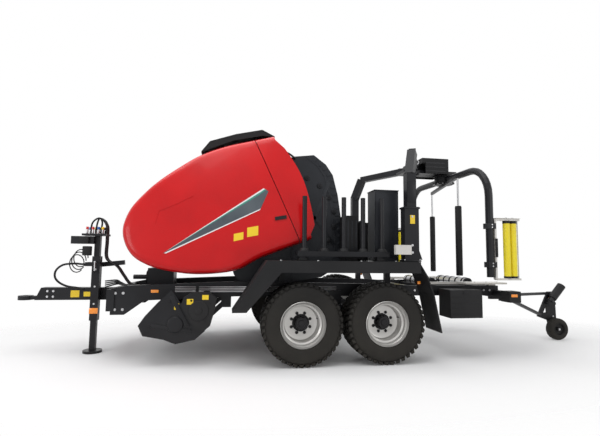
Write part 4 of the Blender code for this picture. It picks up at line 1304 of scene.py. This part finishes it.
# ---------------------------------------------------------------- wrapper
@dataclass
class Wrapper:
    """What shows on the gantry, the arms, the film units and the deck."""

    hub_x: float = 2.27

    def build(self) -> None:
        """Makes it all."""
        self.gantry()
        self.film_units()
        self.arms()
        self.deck()
        self.rack()
        self.boxes()

    def gantry(self) -> None:
        """Flanges, gussets and bolts on the legs."""
        steel, bolts = Shape(), Shape()
        for _, side in SIDES:
            steel.box((0.90, 1.22 * side, 1.372), (1.15, 1.40 * side, 1.395), 0.003)
            steel.box((0.905, 1.228 * side, 2.11), (1.145, 1.392 * side, 2.135), 0.003)
            steel.prism([(1.12, 1.40), (1.20, 1.40), (1.12, 1.62)], 1.29 * side, 1.33 * side)
            corners = [(x, y * side, 1.395) for x in (0.915, 1.138) for y in (1.24, 1.38)]
            bolts.bolts(corners, (0, 0, 1), 0.009, 0.01)
            bolts.bolts([(1.03, 1.38 * side, z) for z in (1.5, 1.6, 2.0)], (0, side, 0), 0.012, 0.01)
            steel.box((0.965, 1.362 * side, 2.20), (1.095, 1.376 * side, 2.50), 0.003)
            bolts.turned([(0.035 + 0.01 * math.cos(a), 0.35 * side + 0.01 * math.sin(a)) for a in
                          (math.tau * k / 8 for k in range(8))], (1.60, 0.0, 3.03), 24)
        steel.build("gantry_plates", "chassis", Look.FRAME)
        bolts.build("gantry_bolts", "chassis", Look.ZINC)
        seams = Shape()
        seams.box((1.735, -0.15, 2.86), (1.741, 0.15, 3.10), 0.002)
        for z in (2.90, 2.97, 3.04):
            seams.box((1.80, -0.2815, z), (2.16, -0.2795, z + 0.02), 0.0)
            seams.box((1.80, 0.2795, z), (2.16, 0.2815, z + 0.02), 0.0)
        seams.build("hub_cover_slots", "chassis", Look.FRAME)

    def film_units(self) -> None:
        """Brackets, caps and pins of the stretch rollers, and the rollers themselves."""
        cream, dark, steel, yellow = Shape(), Shape(), Shape(), Shape()
        for side in (-1, 1):
            y = ARM_REACH * side

            def x_at(reach: float, turn: int = side) -> float:
                """The x of a place beside the arm."""
                return self.hub_x - turn * reach

            cream.box((x_at(0.075), y - 0.056, 2.0155), (x_at(0.467), y + 0.037, 2.021), 0.002)
            cream.box((x_at(0.08), y - 0.052, 1.118), (x_at(0.46), y + 0.036, 1.1245), 0.002)
            for reach, dy, radius in ((0.27, 0.0, 0.050), (0.382, -0.012 * side, 0.050)):
                yellow.rod((x_at(reach), y + dy, 1.17), (x_at(reach), y + dy, 1.95), radius * 0.99, 32)
                dark.rod((x_at(reach), y + dy, 1.146), (x_at(reach), y + dy, 1.175), radius * 1.03, 24)
                dark.rod((x_at(reach), y + dy, 1.945), (x_at(reach), y + dy, 1.984), radius * 1.03, 24)
                steel.rod((x_at(reach), y + dy, 2.018), (x_at(reach), y + dy, 2.034), 0.016, 6)
            steel.rod((x_at(0.45), y, 1.14), (x_at(0.45), y, 1.99), 0.0088, 12)
            dark.box((x_at(0.064), y - 0.045, 1.45), (x_at(0.10), y + 0.045, 1.72), 0.006)
        cream.build("film_unit_plates", "satellite", Look.CREAM)
        yellow.build("stretch_rollers", "satellite", Look.YELLOW)
        dark.build("roller_ends", "satellite", Look.MOULDED)
        steel.build("film_unit_pins", "satellite", Look.ZINC)

    def arms(self) -> None:
        """The slewing ring, the clamp bolts and the safety bars' sleeves."""
        dark, steel = Shape(), Shape()
        dark.rod((self.hub_x, 0, 2.735), (self.hub_x, 0, 2.76), 0.19, 40, bevel=0.005)
        dark.rod((self.hub_x, 0, 2.86), (self.hub_x, 0, 2.8845), 0.175, 40, bevel=0.004)
        for k in range(12):
            a = math.tau * k / 12
            place = (self.hub_x + 0.165 * math.cos(a), 0.165 * math.sin(a), 2.735)
            steel.bolts([place], (0, 0, -1), 0.009, 0.01)
        for side in (-1, 1):
            x, y = self.hub_x + 0.23 * side, 0.86 * side
            dark.rod((x, y, 1.162), (x, y, 2.235), 0.05, 24, bevel=0.012)
            for z in (1.32, 1.36, 1.88, 1.92):
                steel.bolts([(self.hub_x, (ARM_REACH + 0.062) * side, z)], (0, side, 0), 0.008, 0.008)
            steel.rod((x, y, 2.235), (x, y, 2.68), 0.0155, 14)
        dark.build("slewing_ring_and_sleeves", "satellite", Look.MOULDED)
        steel.build("satellite_fasteners", "satellite", Look.ZINC)

    def deck(self) -> None:
        """Roller skins and bands on the table, and bolts on the deck."""
        bands, pale = Shape(), Shape()
        for x in (1.78, 2.42):
            pale.rod((x, -0.435, 1.03), (x, 0.435, 1.03), 0.0765, 40)
            for y in (-0.38, -0.19, 0.0, 0.19, 0.38):
                bands.rod((x, y - 0.02, 1.03), (x, y + 0.02, 1.03), 0.081, 40, bevel=0.003)
        pale.build("table_roller_skins", "wrap_table", Look.ZINC)
        bands.build("table_roller_bands", "wrap_table", Look.HOSE)
        feet = Shape()
        for _, side in SIDES:
            feet.bolts([(x, 0.84 * side, 1.06) for x in (2.12, 2.3, 2.5, 2.68)], (0, 0, 1), 0.010, 0.008)
            feet.bolts([(x, 0.72 * side, 1.0553) for x in (1.55, 1.9)], (0, 0, 1), 0.010, 0.008)
        feet.build("deck_bolts", "chassis", Look.ZINC)

    def rack(self) -> None:
        """Caps, cups and clamps of the film racks."""
        for name, side in SIDES:
            dark = Shape()
            for i in range(5):
                x, y = FIRST_POST_X + i * POST_PITCH, POST_Y * side
                dark.rod((x, y, 2.235), (x, y, 2.2598), 0.0345, 24, 0.026, 0.006)
                dark.rod((x, y, 1.50), (x, y, 1.545), 0.075, 28, 0.05, 0.004)
            for x in (-0.50, 0.60):
                dark.box((x - 0.055, 1.15 * side, 1.372), (x + 0.055, 1.30 * side, 1.40), 0.004)
            dark.build("rack_cups_" + name, "film_rack_" + name, Look.MOULDED)

    def boxes(self) -> None:
        """The cabinet's door, the panel's buttons, the toolbox's latch."""
        dark = Shape()
        dark.box((0.605, -1.0965, 1.42), (0.935, -1.0895, 2.36), 0.006)
        dark.box((0.58, -1.10, 2.398), (0.96, -0.77, 2.41), 0.004)
        dark.rod((0.34 + 0.11, -0.93, 1.925), (0.45, -0.93, 1.96), 0.05, 24, 0.045, 0.006)
        for x in (0.19, 0.25, 0.31):
            dark.box((x, -1.064, 1.45), (x + 0.015, -1.058, 1.95), 0.003)
        dark.build("cabinet_door", "chassis", Look.GRAPHITE)
        keys = Shape()
        for row in range(2):
            for column in range(4):
                x, z = 0.79 + 0.045 * column, 1.495 + 0.045 * row
                keys.rod((x, -1.4475, z), (x, -1.4499, z), 0.013, 18)
        keys.build("panel_keys", "chassis", Look.MOULDED)
        stop = Shape().rod((0.955, -1.4475, 1.565), (0.955, -1.4499, 1.565), 0.018, 24)
        stop.build("panel_stop_key", "chassis", Look.LENS)
        trim = Shape()
        for z in (0.62, 0.70, 0.78, 0.86):
            trim.box((1.70, -1.2335, z), (2.14, -1.2295, z + 0.018), 0.002)
        trim.box((1.87, -1.236, 0.915), (1.97, -1.229, 0.955), 0.004)
        trim.build("toolbox_ribs", "toolbox_door", Look.MOULDED)


@dataclass
class TailKit:
    """The small tail wheel and what is on its arm."""

    x: float = 4.33
    radius: float = 0.19

    def build(self) -> None:
        """Makes the wheel's tyre and rim and the arm's trim."""
        z = self.radius
        half = (
            (0.10, 0.014), (0.115, 0.006), (0.145, 0.002), (0.170, 0.012), (0.184, 0.030),
            (0.1885, 0.050),
        )
        section = [(r, -0.0655 - d) for r, d in half] + [(r, -0.22 + d) for r, d in reversed(half)]
        tyre = Shape().turned(section, (self.x, 0, z), 48)
        tyre.build("tail_tyre", "tail_wheel", Look.TYRE, ["tail_wheel"])
        rim = Shape().turned(
            [(0.102, -0.21), (0.112, -0.216), (0.104, -0.20), (0.09, -0.17), (0.035, -0.165),
             (0.035, -0.12), (0.09, -0.115), (0.104, -0.085), (0.102, -0.075), (0.112, -0.08),
             (0.114, -0.145)],
            (self.x, 0, z), 40,
        )
        rim.rod((self.x, -0.20, z), (self.x, -0.068, z), 0.036, 20, bevel=0.004)
        rim.build("tail_rim", "tail_wheel", Look.MOULDED)
        steel = Shape()
        steel.bolts([(self.x, -0.20, z)], (0, -1, 0), 0.014, 0.012)
        steel.build("tail_nut", "tail_wheel", Look.ZINC)
        trim = Shape()
        places = [(x, -0.066, z) for x, z in ((4.20, 0.79), (4.33, 0.79), (4.33, 0.4))]
        trim.bolts(places, (0, -1, 0), 0.010, 0.008)
        trim.build("tail_arm_bolts", "tail_arm", Look.ZINC)
        amber = Shape().box((4.25, -0.0685, 0.70), (4.35, -0.0650, 0.74), 0.001)
        amber.build("tail_reflector", "tail_arm", Look.AMBER)


def main() -> None:
    """Builds everything in order."""
    logging.basicConfig(level=logging.INFO)
    Studio().build()
    dress_frame()
    DrawbarHose().build()
    Hood().build()
    road_wheels()
    for part in (Chassis(), Baler(), Wrapper(), TailKit()):
        part.build()
        LOG.info("made %s", type(part).__name__)


if __name__ == "__main__":
    main()
